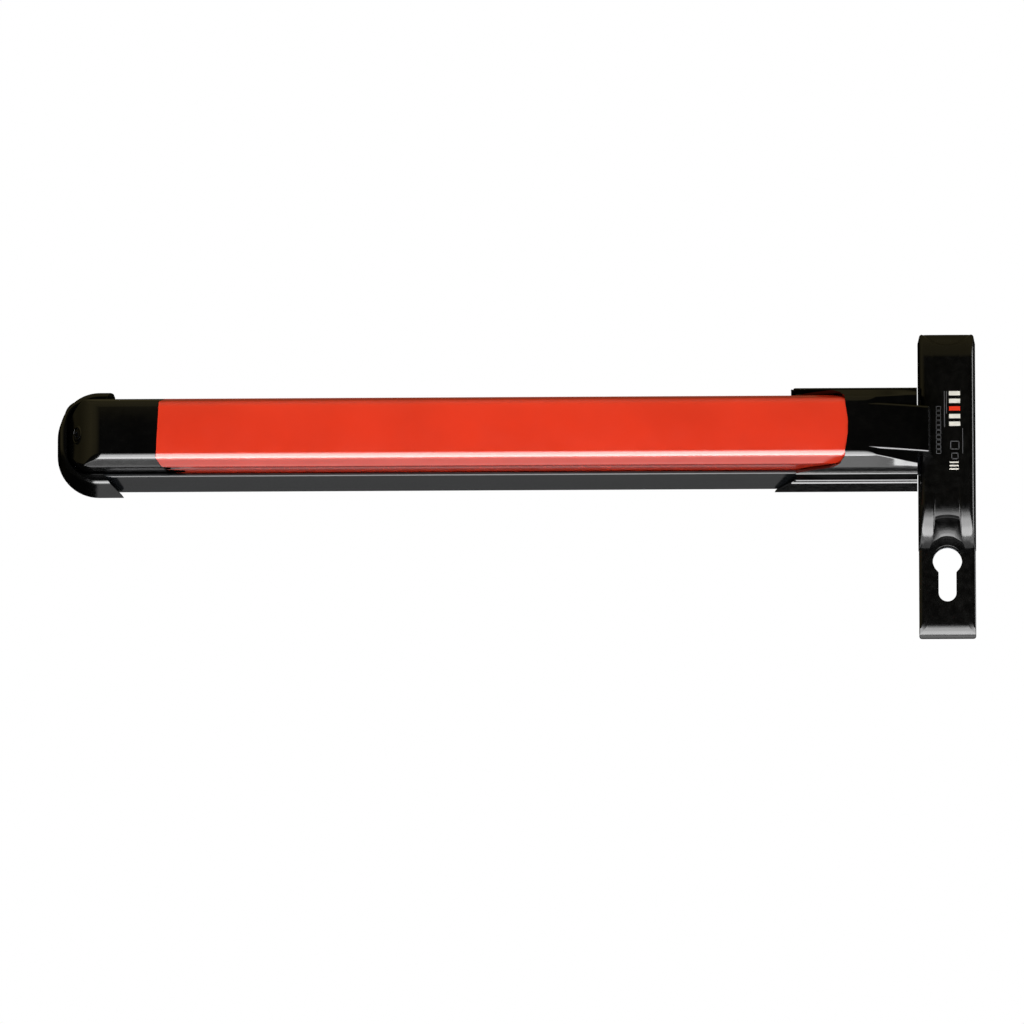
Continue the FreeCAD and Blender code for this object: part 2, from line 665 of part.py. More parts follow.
# ---------------------------------------------------------------- lock case, cylinder plate and base plate
def cylinder_cutout(f_from, f_to, grow=0.0):
    """Euro-profile hole: a circle over a narrower round-ended slot."""
    centre_z = -SPINDLE_TO_CYLINDER
    foot_z = centre_z + CYLINDER_R - CYLINDER_HEIGHT + CYLINDER_SLOT_R
    circle = rod(at(0, f_from, centre_z), at(0, f_to, centre_z), CYLINDER_R + grow)
    foot = rod(at(0, f_from, foot_z), at(0, f_to, foot_z), CYLINDER_SLOT_R + grow)
    half = CYLINDER_SLOT_R + grow
    return circle.fuse([foot, box((-half, half), (f_from, f_to), (foot_z, centre_z))])


def base_plate_holes():
    return [(0.0, 43.0), (0.0, -43.0)]


def lock_base_plate():
    """Steel plate on the door, under the lock case and the cylinder plate."""
    outline = [
        (-BASE_HALF, -112, 3),
        (BASE_HALF, -112, 3),
        (BASE_HALF, 58.5, 3),
        (-BASE_HALF, 58.5, 3),
    ]
    plate = prism(outline, "y", 0, BASE_PLATE)
    cuts = [cylinder_cutout(-1, 5), rod(at(0, -1, 0), at(0, 5, 0), 9.8 + FIT)]
    cuts += [rod(at(x, -1, z), at(x, 5, z), 2.75) for x, z in base_plate_holes()]
    cuts += [rod(at(x, -1, z), at(x, 5, z), 2.05) for x, z in cover_screw_places()]
    posts = [rod(at(x, BASE_PLATE, z), at(x, 5.5, z), 4.0) for x, z in cover_screw_places()]
    posts = [p.cut(rod(at(x, -1, z), at(x, 9, z), 2.05)) for p, (x, z) in zip(posts, cover_screw_places())]
    return plate.cut(cuts).fuse(posts).removeSplitter()


def base_plate_arm():
    """Steel strip welded to the base plate's edge, which the rail is clamped to."""
    outline = [(-63.5, -19, 1.5), (-BASE_HALF, -19), (-BASE_HALF, 19), (-63.5, 19, 1.5)]
    holes = [rod(at(x, -1, z), at(x, 5, z), 2.75) for x, z in rail_fixing_holes()[6:]]
    return prism(outline, "y", 0, BASE_PLATE).cut(holes)


def cover_screw_places():
    """Screws from behind that hold the case (first two) and the cylinder plate (last)."""
    return [(0.0, 53.0), (0.0, -30.0), (0.0, -106.0)]


def rail_joint_bracket():
    """Steel plate that clamps the rail's floor and the base plate's arm to the door."""
    plate = [(-98, -17, 2), (-34, -17, 2), (-34, 17, 2), (-98, 17, 2)]
    shape = prism(plate, "y", RAIL_FLOOR, RAIL_FLOOR + 2.4)
    return shape.cut([rod(at(x, 0, z), at(x, 8, z), 2.75) for x, z in rail_fixing_holes()[4:]])


def case_outline(inset):
    """Side view of the lock case as (z, f): arc down to the cylinder plate, smaller arc on top."""
    return [
        (CASE_TOP - inset, -1.0 if inset else 0.0),
        (CASE_TOP - inset, CASE_FRONT - inset, 17.0 - inset),
        (CASE_BOTTOM + inset, CASE_FRONT - inset, 24.0 - inset),
        (CASE_BOTTOM + inset, -1.0 if inset else 0.0),
    ]


def case_solid(inset):
    """Lock case's outer form: side view, drafted and rounded along its upright edges."""
    base, front = CASE_HALF - inset, CASE_HALF - 1.4 - inset
    body = prism(case_outline(inset), "x", -CASE_HALF, CASE_HALF)
    edge = max(3.2 - inset, 0.8)
    plan = [
        (-base, -2),
        (base, -2),
        (front, CASE_FRONT - inset, edge),
        (-front, CASE_FRONT - inset, edge),
    ]
    return body.common(prism(plan, "z", -150, 150))


def scoop(grow=0.0):
    """Finger scoop round the cylinder: straight at the plate, flared above it, then a wider recess."""
    out = at(0, 1, 0)
    places = [at(0, f, -SPINDLE_TO_CYLINDER) for f in (-2.0, SCOOP_FLARE_F - grow, SCOOP_LAND_F - grow)]
    bore = Part.makeCylinder(SCALLOP_R + grow, SCOOP_FLARE_F + 2.0 - grow, places[0], out)
    flare_height = SCOOP_LAND_F - SCOOP_FLARE_F
    flare = Part.makeCone(SCALLOP_R + grow, SCOOP_FLARE_R + grow, flare_height, places[1], out)
    recess = Part.makeCylinder(SCOOP_R + grow, 20.0 + grow, places[2], out)
    return fused([bore, flare, recess])


def top_scoop(grow=0.0):
    """Shallow bite out of the case's top end, in line with the scoop at the bottom."""
    z = CASE_TOP + 7.8
    return rod(at(0, 24.0 - grow, z), at(0, 60, z), 17.4 + grow)


def lock_case():
    """Cast cover over the spindle hub, scooped at both ends, with a window for the yoke."""
    shell = case_solid(0).cut([scoop(), top_scoop()])
    inside = case_solid(2.0).cut([scoop(2.0), top_scoop(2.0)])
    window = box((-25, -10), (-1, 31.0), (-19.6, 19.6))
    notch = box((-BASE_HALF - 0.3, BASE_HALF + 0.3), (-1, PLATE_FRONT + 0.2), (CASE_BOTTOM - 1, -55.4))
    shell = shell.cut([inside, window, notch])
    posts = []
    for x, z in cover_screw_places()[:2]:
        post = rod(at(x, 5.6, z), at(x, CASE_FRONT, z), 4.0).common(case_solid(0.6))
        post = post.cut([scoop(1.0), top_scoop(1.0)])
        posts.append(post.cut(rod(at(x, 0, z), at(x, 20, z), 1.7 + FIT)))
    return fused([shell, *posts])


def plate_solid(inset):
    """Cylinder plate's outer form, moved inwards by inset."""
    low = PLATE_BOTTOM + inset
    side_view = [
        (low, -1.0 if inset else 0.0),
        (low, PLATE_FRONT - inset, 8.0 - inset),
        (-46.0, PLATE_FRONT - inset),
        (-46.0, -1.0 if inset else 0.0),
    ]
    half, front, edge = 16.4 - inset, PLATE_FRONT - inset, 2.4 - inset
    plan = [(-half - 0.3, -2), (half + 0.3, -2), (half, front, edge), (-half, front, edge)]
    return prism(side_view, "x", -20, 20).common(prism(plan, "z", -150, 0))


def cylinder_plate():
    """Cast plate with the Euro-profile hole. Its narrower tongue lies under the lock case."""
    shell = plate_solid(0).cut(plate_solid(2.0))
    below_case = box((-30, 30), (-1, 20), (-130, CASE_BOTTOM - 0.3))
    under_case = box((-BASE_HALF, BASE_HALF), (-1, 20), (CASE_BOTTOM - 1, -47.5))
    shell = shell.common(fused([below_case, under_case]))
    collar = cylinder_cutout(BASE_PLATE + 0.1, PLATE_FRONT, grow=2.0)
    x, z = cover_screw_places()[2]
    post = rod(at(x, 5.6, z), at(x, PLATE_FRONT - 1, z), 4.0)
    shape = fused([shell, collar.common(plate_solid(0.01)), post])
    return shape.cut([cylinder_cutout(-1, 20), rod(at(x, 0, z), at(x, 8.4, z), 1.7 + FIT)])


def cover_screws():
    """Screws from behind, flush with the door face, in the base plate's raised posts."""
    solids = []
    for x, z in cover_screw_places():
        reach = 8.2 if z < -100 else 16.0
        shank = rod(at(x, 0.3, z), at(x, reach, z), 1.7)
        head = rod(at(x, 0.3, z), at(x, 1.5, z), 2.0)
        slot = box((x - 2, x + 2), (0, 0.7), (z - 0.4, z + 0.4))
        solids.append(shank.fuse(head).removeSplitter().cut(slot))
    return compound(solids)


# ---------------------------------------------------------------- lock-side cover
def cover_outline(inset):
    """Section of the lock-side cover: a hump over the push bar on a wider box over the rail."""
    return mirrored(
        [
            (COVER_BOX - min(inset, COVER_BOX_WALL), -1.0 if inset else 0.0),
            (COVER_BOX - min(inset, COVER_BOX_WALL), COVER_BOX_F - inset, 0.01 if inset else 1.2),
            (COVER_HALF - inset, COVER_BOX_F - inset, 1.0),
            (COVER_HALF - inset, COVER_SHOULDER_F, 5.0 - inset),
            (BAR_FLAT + 0.6 - inset * 0.3, COVER_FRONT - inset, 4.6 - inset),
        ]
    )


def cover_edge_region():
    """Side view of what the cover keeps: its free edge sweeps back from the front to the door."""
    curve = Part.BSplineCurve()
    curve.interpolate(
        [
            at(COVER_EDGE_X, 80, -60),
            at(COVER_EDGE_X, 66.5, -60),
            at(COVER_EDGE_X - 6.5, 58.0, -60),
            at(COVER_EDGE_X - 20.5, 48.0, -60),
            at(COVER_EDGE_X - 29.5, 36.0, -60),
            at(COVER_BASE_X, 0, -60),
            at(COVER_BASE_X - 3, -8, -60),
        ]
    )
    start, end = curve.value(curve.FirstParameter), curve.value(curve.LastParameter)
    far_back, far_front = at(40, 8, -60), at(40, 80, -60)
    far_back.y = end.y
    edges = [
        curve.toShape(),
        Part.LineSegment(end, far_back).toShape(),
        Part.LineSegment(far_back, far_front).toShape(),
        Part.LineSegment(far_front, start).toShape(),
    ]
    return Part.Face(Part.Wire(edges)).extrude(FreeCAD.Vector(0, 0, 120))


TONGUE_END_X = -8.4
TONGUE_HALF = 13.8
RAMP_START_X = -44.0
FLANK_DROP = 14.0  # how far the ramps fall by the lock case
TONGUE_DROP = 10.6
COVER_RIGHT_X = -CASE_HALF - 0.4
COVER_SHOULDER_F = 55.5
COVER_CORNER_X = -92.6  # the box's upper side starts here


def ramp_region(drop, inset):
    """Side view under a ramp that falls by drop from the cover's front to the lock case."""
    front = COVER_FRONT - inset
    slope = drop / (COVER_RIGHT_X - RAMP_START_X)
    low = front - slope * (8 - RAMP_START_X)
    corners = [(-150, -5), (-150, front), (RAMP_START_X, front, 14), (8, low), (8, -5)]
    return prism(corners, "z", -60, 60)


def lock_side_cover():
    """Moulded cover that bridges the rail and the lock case, with a tongue over the case's front."""
    hump = prism(cover_outline(0), "x", -130, COVER_RIGHT_X).common(ramp_region(FLANK_DROP, 0))
    tongue_side = [
        (RAMP_START_X - 10, CASE_FRONT + 0.4),
        (TONGUE_END_X, CASE_FRONT + 0.4),
        (TONGUE_END_X - 3.0, CASE_FRONT + 24),
        (RAMP_START_X - 10, CASE_FRONT + 40),
    ]
    tongue = prism(tongue_side, "z", -TONGUE_HALF, TONGUE_HALF).common(ramp_region(TONGUE_DROP, 0))
    hollow = prism(cover_outline(2.0), "x", -130, COVER_RIGHT_X + 1).common(ramp_region(FLANK_DROP, 2.0))
    tongue_hollow = box((RAMP_START_X - 8, TONGUE_END_X - 5), (20, 80), (-TONGUE_HALF + 2, TONGUE_HALF - 2))
    tongue_hollow = tongue_hollow.common(ramp_region(TONGUE_DROP, 2.0))
    end_wall = prism(cover_outline(0.5), "x", COVER_RIGHT_X - 2, COVER_RIGHT_X)
    end_wall = end_wall.common(ramp_region(FLANK_DROP, 0.5))
    end_wall = end_wall.cut([box((-30, -10), (-2, 31.0), (-19.6, 19.6)), tongue_hollow])
    upper_corner = box((-130, COVER_CORNER_X), (-1, COVER_BOX_F + 0.1), (12, 40))
    shape = fused([hump, tongue]).cut([hollow, tongue_hollow, upper_corner]).common(cover_edge_region())
    groove = box((-130, COVER_RIGHT_X + 1), (28.5, 31.5), (COVER_BOX - 0.6, COVER_BOX + 1))
    return shape.fuse(end_wall).removeSplitter().cut(both_sides(groove))


# ---------------------------------------------------------------- guides, stops
def rod_guide(x):
    """Plastic saddle on the rail's floor that keeps the connecting rod upright."""
    block = box((x - 7, x + 7), (RAIL_FLOOR, 12.5), (-6, 6))
    groove = box((x - 8, x + 8), (ROD_F[0] - 0.3, 20), (-ROD_HALF - 0.3, ROD_HALF + 0.3))
    return block.cut(groove)


def travel_bumpers():
    """Rubber blocks that the bar's skirts meet at the end of travel."""
    top = BAR_SKIRT_F - TRAVEL - 0.3
    solids = []
    for x in (-380.0, -210.0):
        block = box((x - 9, x + 9), (RAIL_FLOOR, top), (17.6, 21.8))
        solids += both_sides(block)
    return compound(solids)


# ---------------------------------------------------------------- build
def make_all():
    NODES["push_bar"] = push_bar()
    NODES["push_bar_end_cap"] = push_bar_end_cap()
    NODES["end_cap_anchor"] = end_cap_anchor()
    NODES["end_cap_screw"] = end_cap_screw()
    NODES["push_bar_end_plug"] = bar_end_plug()
    NODES["hanger_screws"] = hanger_screws()
    NODES["chassis_rail"] = chassis_rail()
    NODES["rail_end_flange"] = rail_end_flange()
    NODES["flange_base_plate"] = flange_base_plate()
    NODES["rail_end_bracket"] = rail_end_bracket()
    NODES["rail_joint_bracket"] = rail_joint_bracket()
    NODES["rocker_bracket_screws"] = bracket_screws()
    NODES["travel_bumpers"] = travel_bumpers()
    for name, x in (("left", -330.0), ("right", -255.0)):
        NODES[f"{name}_rod_guide"] = rod_guide(x)
    clips = []
    for name, x in rocker_places().items():
        NODES[f"{name}_rocker_bracket"] = rocker_bracket(x)
        NODES[f"{name}_rocker"] = rocker(x)
        NODES[f"{name}_rocker_bush"] = rocker_bush(x)
        NODES[f"{name}_pivot_pin"] = pivot_pin(x)
        NODES[f"{name}_return_spring"] = compound(both_sides(torsion_spring(x)))
        NODES[f"{name}_hanger"] = hanger(x)
        bar_pin, rod_pin = bar_pin_place(x), rod_pin_place(x)
        NODES[f"{name}_bar_pin"] = rod(at(*bar_pin, -17.2), at(*bar_pin, 17.2), BAR_PIN_R)
        NODES[f"{name}_rod_pin"] = rod(at(*rod_pin, -10.6), at(*rod_pin, 10.6), ROD_PIN_R)
        clips += [retaining_clip(x, PIVOT_F, z, 4.6) for z in (13.65, -14.35)]
    NODES["pivot_pin_clips"] = compound(clips)
    NODES["connecting_rod"] = connecting_rod()
    NODES["drive_yoke"] = drive_yoke()
    NODES["yoke_screws"] = yoke_screws()
    NODES["spindle_hub"] = spindle_hub()
    NODES["crank_pin"] = crank_pin()
    NODES["lock_spindle"] = lock_spindle()
    NODES["spindle_set_screw"] = spindle_set_screw()
    NODES["hub_bush"] = hub_bush()
    NODES["lock_base_plate"] = lock_base_plate()
    NODES["base_plate_arm"] = base_plate_arm()
    NODES["lock_case"] = lock_case()
    NODES["cylinder_plate"] = cylinder_plate()
    NODES["cover_screws"] = cover_screws()
    NODES["lock_side_cover"] = lock_side_cover()


def main():
    make_all()
    os.makedirs("parts", exist_ok=True)
    for name, shape in NODES.items():
        if not shape.isValid():
            print("not valid:", name)
        if name in ("push_bar", "lock_case") or len(shape.Solids) != 1:
            print(f"{name}: {len(shape.Solids)} solids, {shape.Volume:.0f} mm3")
        shape.exportStep(f"parts/{name}.step")
    print(f"swing {math.degrees(2 * SWING):.2f} deg, rod stroke {2 * ROD_HALF_STROKE:.3f} mm")
    print(f"hub turn {math.degrees(2 * CRANK_HALF_TURN):.2f} deg, crank pin {crank_pin_place()}")


main()
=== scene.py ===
"""Looks of a touch-bar exit device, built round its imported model.

Shapes are worked out in millimetres as (x, f, z): x along the bar, f the distance in front of the door
and z up. They become metres in the model's own frame, where y is -f, when a mesh is made.
"""

import json
import math

import bmesh
import bpy
import numpy as np
from bpy.props import FloatProperty, FloatVectorProperty, PointerProperty
from bpy.types import Operator, Panel, PropertyGroup
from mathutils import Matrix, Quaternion, Vector


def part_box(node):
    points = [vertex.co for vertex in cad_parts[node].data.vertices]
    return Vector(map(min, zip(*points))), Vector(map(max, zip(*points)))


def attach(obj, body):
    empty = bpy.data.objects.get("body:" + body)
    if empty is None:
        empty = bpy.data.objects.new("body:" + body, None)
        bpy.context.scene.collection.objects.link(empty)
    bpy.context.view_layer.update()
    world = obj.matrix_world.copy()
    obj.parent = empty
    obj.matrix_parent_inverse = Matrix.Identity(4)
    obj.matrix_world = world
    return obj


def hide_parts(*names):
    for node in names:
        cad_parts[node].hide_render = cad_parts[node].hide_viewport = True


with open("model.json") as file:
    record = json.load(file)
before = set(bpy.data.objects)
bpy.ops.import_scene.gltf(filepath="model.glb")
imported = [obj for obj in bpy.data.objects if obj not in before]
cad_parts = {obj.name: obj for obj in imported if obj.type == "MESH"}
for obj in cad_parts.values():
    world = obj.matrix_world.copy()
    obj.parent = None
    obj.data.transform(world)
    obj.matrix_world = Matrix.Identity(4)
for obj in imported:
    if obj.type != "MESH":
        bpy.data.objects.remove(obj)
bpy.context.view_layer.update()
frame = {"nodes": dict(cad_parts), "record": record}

bl_info = {
    "name": "Touch-bar exit device",
    "version": (1, 0, 0),
    "blender": (4, 5, 0),
    "location": "3D View > Sidebar > Exit device",
    "description": "Builds the visible pieces, finishes and studio of a touch-bar exit device",
    "category": "Object",
}

NODES = frame["nodes"]
MM = 0.001


def linear(hex_colour):
    """Linear RGBA of an sRGB hex colour."""
    srgb = np.array([int(hex_colour[i : i + 2], 16) for i in (0, 2, 4)]) / 255
    rgb = np.where(srgb <= 0.04045, srgb / 12.92, ((srgb + 0.055) / 1.055) ** 2.4)
    return (*rgb.tolist(), 1.0)


def length(name, description, default):
    return FloatProperty(name=name, description=description, default=default, unit="LENGTH", precision=4)


def colour(name, description, hex_colour):
    default = linear(hex_colour)[:3]
    return FloatVectorProperty(name=name, description=description, subtype="COLOR", size=3, default=default)


class ExitDeviceSizes(PropertyGroup):
    bar_front: length("Bar front", "Push bar's front flat, from the door", 0.066)
    bar_flat: length("Bar flat", "Half height of the push bar's front flat", 0.0168)
    bar_half: length("Bar half height", "Half height of the push bar", 0.0205)
    bar_shoulder: length("Bar shoulder", "Where the sloped flank meets the skirt, from the door", 0.054)
    bar_edge: length("Bar edge radius", "Radius between the front flat and the flanks", 0.0042)
    cap_seam: length("Cap seam", "Where the end cap meets the push bar, along the bar", -0.4687)
    cap_end: length("Cap end", "Free end of the end cap, along the bar", -0.5225)
    cover_front: length("Cover front", "Lock-side cover's front, from the door", 0.0685)
    cover_half: length("Cover half height", "Half height of the lock-side cover's hump", 0.0234)
    case_front: length("Case front", "Lock case's front, from the door", 0.036)
    case_half: length("Case half width", "Half width of the lock case at the door", 0.0172)
    cylinder_drop: length("Cylinder distance", "From the spindle's axis down to the cylinder's", 0.072)
    cylinder_radius: length("Cylinder radius", "Round part of the cylinder hole", 0.00875)


class ExitDeviceColours(PropertyGroup):
    bar: colour("Push bar", "Powder coat of the push bar", "E0381F")
    moulding: colour("Mouldings", "Gloss plastic of the cap, flange and cover", "050505")
    enamel: colour("Lock case", "Enamel of the lock case and cylinder plate", "040404")
    rail: colour("Rail", "Coat of the rail", "17191B")


# ---------------------------------------------------------------- outlines


def unit(vectors):
    return vectors / np.linalg.norm(vectors, axis=-1, keepdims=True)


def outline(corners, steps=8, fill=0):
    """Closed outline through corners (a, b, radius), with leading axes for many outlines at once.

    With unit vectors p and q from a corner towards its neighbours and h half the angle between them, the
    arc's centre lies radius / sin h along p + q, and the arc turns through pi - 2 h. Each straight run
    between two arcs gets fill points, evenly spaced.
    """
    corners = np.asarray(corners, float)
    here, radius = corners[..., :2], np.maximum(corners[..., 2:3], 1e-3)
    p = unit(np.roll(here, 1, -2) - here)
    q = unit(np.roll(here, -1, -2) - here)
    half = np.arccos(np.clip((p * q).sum(-1, keepdims=True), -1, 1)) / 2
    middle, across = unit(p + q), unit(q - p)
    centre = here + middle * radius / np.sin(half)
    turn = np.linspace(-1, 1, steps)[:, None] * (np.pi / 2 - half)[..., None, :]
    swing = np.sin(turn) * across[..., None, :] - np.cos(turn) * middle[..., None, :]
    points = centre[..., None, :] + radius[..., None, :] * swing
    if fill:
        share = np.linspace(0, 1, fill + 2)[1:-1, None]
        start, end = points[..., -1:, :], np.roll(points, -1, -3)[..., :1, :]
        points = np.concatenate([points, start + (end - start) * share], axis=-2)
    return points.reshape(*points.shape[:-3], -1, 2)


def both_halves(corners):
    """Corners (z, f, radius) of one half and their mirror image, from the upper foot round to the lower."""
    corners = np.asarray(corners, float)
    other = corners[..., ::-1, :] * np.array([-1.0, 1.0, 1.0])
    return np.concatenate([corners, other], axis=-2)


CROWN = 0.0024
CROWN_FROM, CROWN_EASE = 50.0, 6.0


def crowned(path, flat):
    """Path whose front bulges slightly: f falls by CROWN times z squared over the flat."""
    z, f = path[..., 0], path[..., 1]
    over = np.clip((f - CROWN_FROM) / CROWN_EASE, 0, 1)
    return np.stack([z, f - CROWN * np.minimum(z**2, flat**2) * over], axis=-1)


def lay(*parts):
    """Grid of points (x, f, z), or of other rows, from arrays that broadcast together."""
    return np.stack(np.broadcast_arrays(*parts), axis=-1)


# ---------------------------------------------------------------- meshes


def quads(rows, columns, first=0, flip=False, wrap=False):
    """Faces of a rows by columns grid whose points start at number first."""
    number = np.arange(rows * columns).reshape(rows, columns) + first
    if wrap:
        number = np.concatenate([number, number[:, :1]], axis=1)
    faces = np.stack([number[:-1, :-1], number[1:, :-1], number[1:, 1:], number[:-1, 1:]], axis=-1)
    faces = faces.reshape(-1, 4)
    return faces[:, ::-1] if flip else faces


def wall(outer, inner):
    """Points and faces of a wall between two grids of the same size, closed along their borders."""
    rows, columns = outer.shape[:2]
    count = rows * columns
    number = np.arange(count).reshape(rows, columns)
    faces = [quads(rows, columns), quads(rows, columns, count, flip=True)]
    for rim in (number[0], number[-1, ::-1], number[::-1, 0], number[:, -1]):
        faces.append(np.stack([rim[:-1], rim[1:], rim[1:] + count, rim[:-1] + count], axis=-1))
    return np.concatenate([outer.reshape(-1, 3), inner.reshape(-1, 3)]), np.concatenate(faces)


def prism_body(grid):
    """Points and faces of a closed tube of rows, with each end drawn together on its middle."""
    rows, columns = grid.shape[:2]
    first = np.broadcast_to(grid[0].mean(0), (1, columns, 3))
    last = np.broadcast_to(grid[-1].mean(0), (1, columns, 3))
    full = np.concatenate([first, grid, last])
    return full.reshape(-1, 3), quads(rows + 2, columns, wrap=True)


def turned(profile, centre, axis, steps=72):
    """Surface of revolution about axis from rows (radius, height, depth of six lobes)."""
    radius, height, lobe = np.array(profile, float).T[:, :, None]
    angle = np.linspace(0, 2 * np.pi, steps, endpoint=False)
    axis = unit(np.array(axis, float))
    side = np.array([0.0, 0.0, 1.0])
    third = np.cross(axis, side)
    reach = (radius + lobe * np.cos(6 * angle))[..., None]
    ring = np.cos(angle)[:, None] * side + np.sin(angle)[:, None] * third
    points = np.array(centre, float) + reach * ring + height[..., None] * axis
    return points.reshape(-1, 3), quads(len(profile), steps, wrap=True)


def slab(x, z, low, high):
    """Thin box over the ranges x and z, from height low to high."""
    x, z = np.array([x, x], float), np.array([[z[0]] * 2, [z[1]] * 2], float)
    return wall(lay(x, high, z), lay(x, low, z))


def joined(bodies):
    """Points and faces of several bodies as one."""
    points, faces, first = [], [], 0
    for body_points, body_faces in bodies:
        points.append(body_points)
        faces.append(body_faces + first)
        first += len(body_points)
    return np.concatenate(points), np.concatenate(faces)


def make_piece(name, body, rides_on, slot, stands_for=(), sharp=34):
    """Mesh object from (points, faces), with doubles merged, edges past sharp degrees kept crisp."""
    points, faces = body
    mesh = bpy.data.meshes.new(name)
    scaled = points * np.array([1, -1, 1]) * MM
    mesh.from_pydata(scaled.tolist(), [], faces.tolist())
    obj = bpy.data.objects.new(name, mesh)
    bpy.context.scene.collection.objects.link(obj)
    tidy_mesh(mesh)
    mesh.polygons.foreach_set("use_smooth", np.ones(len(mesh.polygons), bool))
    mesh.set_sharp_from_angle(angle=math.radians(sharp))
    mesh.materials.append(finishes()[slot])
    weighted = obj.modifiers.new("even_shading", "WEIGHTED_NORMAL")
    weighted.keep_sharp = True
    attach(obj, rides_on)
    if stands_for:
        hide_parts(*stands_for)
    return obj


def tidy_mesh(mesh):
    """Merges coincident points, drops empty faces and turns every face outwards."""
    work = bmesh.new()
    work.from_mesh(mesh)
    bmesh.ops.remove_doubles(work, verts=work.verts, dist=2e-6)
    bmesh.ops.dissolve_degenerate(work, edges=work.edges, dist=1e-6)
    bmesh.ops.recalc_face_normals(work, faces=work.faces)
    work.to_mesh(mesh)
    work.free()


# ---------------------------------------------------------------- finishes


def add_node(tree, kind, values=None, links=None, **settings):
    """Adds a node, sets its settings and input values, and links its inputs to other nodes' outputs."""
    made = tree.nodes.new(kind)
    for key, value in settings.items():
        setattr(made, key, value)
    for key, value in (values or {}).items():
        made.inputs[key].default_value = value
    for key, socket in (links or {}).items():
        tree.links.new(socket, made.inputs[key])
    return made


def new_material(name, **values):
    """Material with constants set on its shader's own sockets. Returns it, its tree and shader."""
    made = bpy.data.materials.new(name)
    made.use_nodes = True
    tree = made.node_tree
    shader = tree.nodes["Principled BSDF"]
    for key, value in values.items():
        shader.inputs[key.replace("_", " ")].default_value = value
    return made, tree, shader


def object_place(tree, scale=(1, 1, 1)):
    """Object coordinates in metres, stretched by scale."""
    place = add_node(tree, "ShaderNodeTexCoord")
    links = {"Vector": place.outputs["Object"]}
    return add_node(tree, "ShaderNodeMapping", {"Scale": scale}, links).outputs[0]


def grain(tree, period_mm, detail=2.0, stretch=(1, 1, 1), roughness=0.5):
    """Noise with that period, drawn out along an axis where stretch is small."""
    scale = tuple(s * 1000 / period_mm for s in stretch)
    values = {"Scale": 1.0, "Detail": detail, "Roughness": roughness}
    links = {"Vector": object_place(tree, scale)}
    return add_node(tree, "ShaderNodeTexNoise", values, links).outputs["Fac"]


def vary_colour(tree, shader, fac, first, second, spread=(0.35, 0.65)):
    """Base colour that runs from first to second as fac crosses the spread."""
    ramp = add_node(tree, "ShaderNodeValToRGB", links={"Fac": fac})
    ramp.color_ramp.elements[0].position, ramp.color_ramp.elements[1].position = spread
    ramp.color_ramp.elements[0].color, ramp.color_ramp.elements[1].color = first, second
    tree.links.new(ramp.outputs["Color"], shader.inputs["Base Color"])


def vary_roughness(tree, shader, fac, low, high):
    """Roughness that follows fac between low and high."""
    limits = {"From Min": 0.3, "From Max": 0.7, "To Min": low, "To Max": high}
    spread = add_node(tree, "ShaderNodeMapRange", limits, {"Value": fac})
    tree.links.new(spread.outputs["Result"], shader.inputs["Roughness"])


def emboss(tree, shader, heights):
    """Bump from (height, distance in mm, strength) layers, one on the other."""
    normal = None
    for height, distance_mm, strength in heights:
        links = {"Height": height}
        if normal is not None:
            links["Normal"] = normal
        values = {"Strength": strength, "Distance": distance_mm * MM}
        normal = add_node(tree, "ShaderNodeBump", values, links).outputs["Normal"]
    tree.links.new(normal, shader.inputs["Normal"])


def shade(rgba, factor):
    """Colour made that much lighter or darker."""
    return (*(min(c * factor, 1.0) for c in rgba[:3]), 1.0)


def powder_coat(name, rgba):
    """Gloss polyester powder coat, baked on aluminium: a clear skin with an orange peel of about 1.5 mm."""
    made, tree, shader = new_material(name, IOR=1.5, Coat_Weight=0.5, Coat_Roughness=0.05, Coat_IOR=1.5)
    vary_colour(tree, shader, grain(tree, 60.0, 3.0), shade(rgba, 0.94), shade(rgba, 1.05))
    vary_roughness(tree, shader, grain(tree, 9.0, 4.0), 0.2, 0.27)
    emboss(tree, shader, [(grain(tree, 1.6, 1.0), 0.02, 0.14)])
    return made


def gloss_moulding(name, rgba):
    """Polished ABS moulding: near-mirror skin with very slight sink and a haze of fine handling scratches."""
    made, tree, shader = new_material(name, IOR=1.53)
    vary_colour(tree, shader, grain(tree, 25.0, 3.0), shade(rgba, 0.8), shade(rgba, 1.3))
    vary_roughness(tree, shader, grain(tree, 5.0, 6.0, roughness=0.7), 0.1, 0.19)
    emboss(tree, shader, [(grain(tree, 14.0, 1.0), 0.05, 0.1), (grain(tree, 0.9, 2.0), 0.01, 0.06)])
    return made


def cast_enamel(name, rgba):
    """Stoved enamel on die-cast zinc: glossy, with the casting's slow waves under the paint."""
    values = {"Specular_IOR_Level": 0.36, "Coat_Weight": 0.1, "Coat_Roughness": 0.1}
    made, tree, shader = new_material(name, IOR=1.5, **values)
    vary_colour(tree, shader, grain(tree, 18.0, 3.0), shade(rgba, 0.8), shade(rgba, 1.3))
    vary_roughness(tree, shader, grain(tree, 4.0, 5.0), 0.17, 0.27)
    emboss(tree, shader, [(grain(tree, 10.0, 1.0), 0.06, 0.1), (grain(tree, 1.2, 2.0), 0.01, 0.1)])
    return made


def drawn_coat(name, rgba):
    """Satin coat on drawn aluminium: die lines 0.5 mm apart run along the bar under it."""
    made, tree, shader = new_material(name, IOR=1.45, Specular_IOR_Level=0.35)
    vary_colour(tree, shader, grain(tree, 30.0, 3.0), shade(rgba, 0.85), shade(rgba, 1.15))
    lines = grain(tree, 0.5, 2.0, stretch=(0.004, 1, 1))
    vary_roughness(tree, shader, lines, 0.11, 0.17)
    emboss(tree, shader, [(lines, 0.02, 0.25), (grain(tree, 0.7, 2.0), 0.01, 0.08)])
    return made


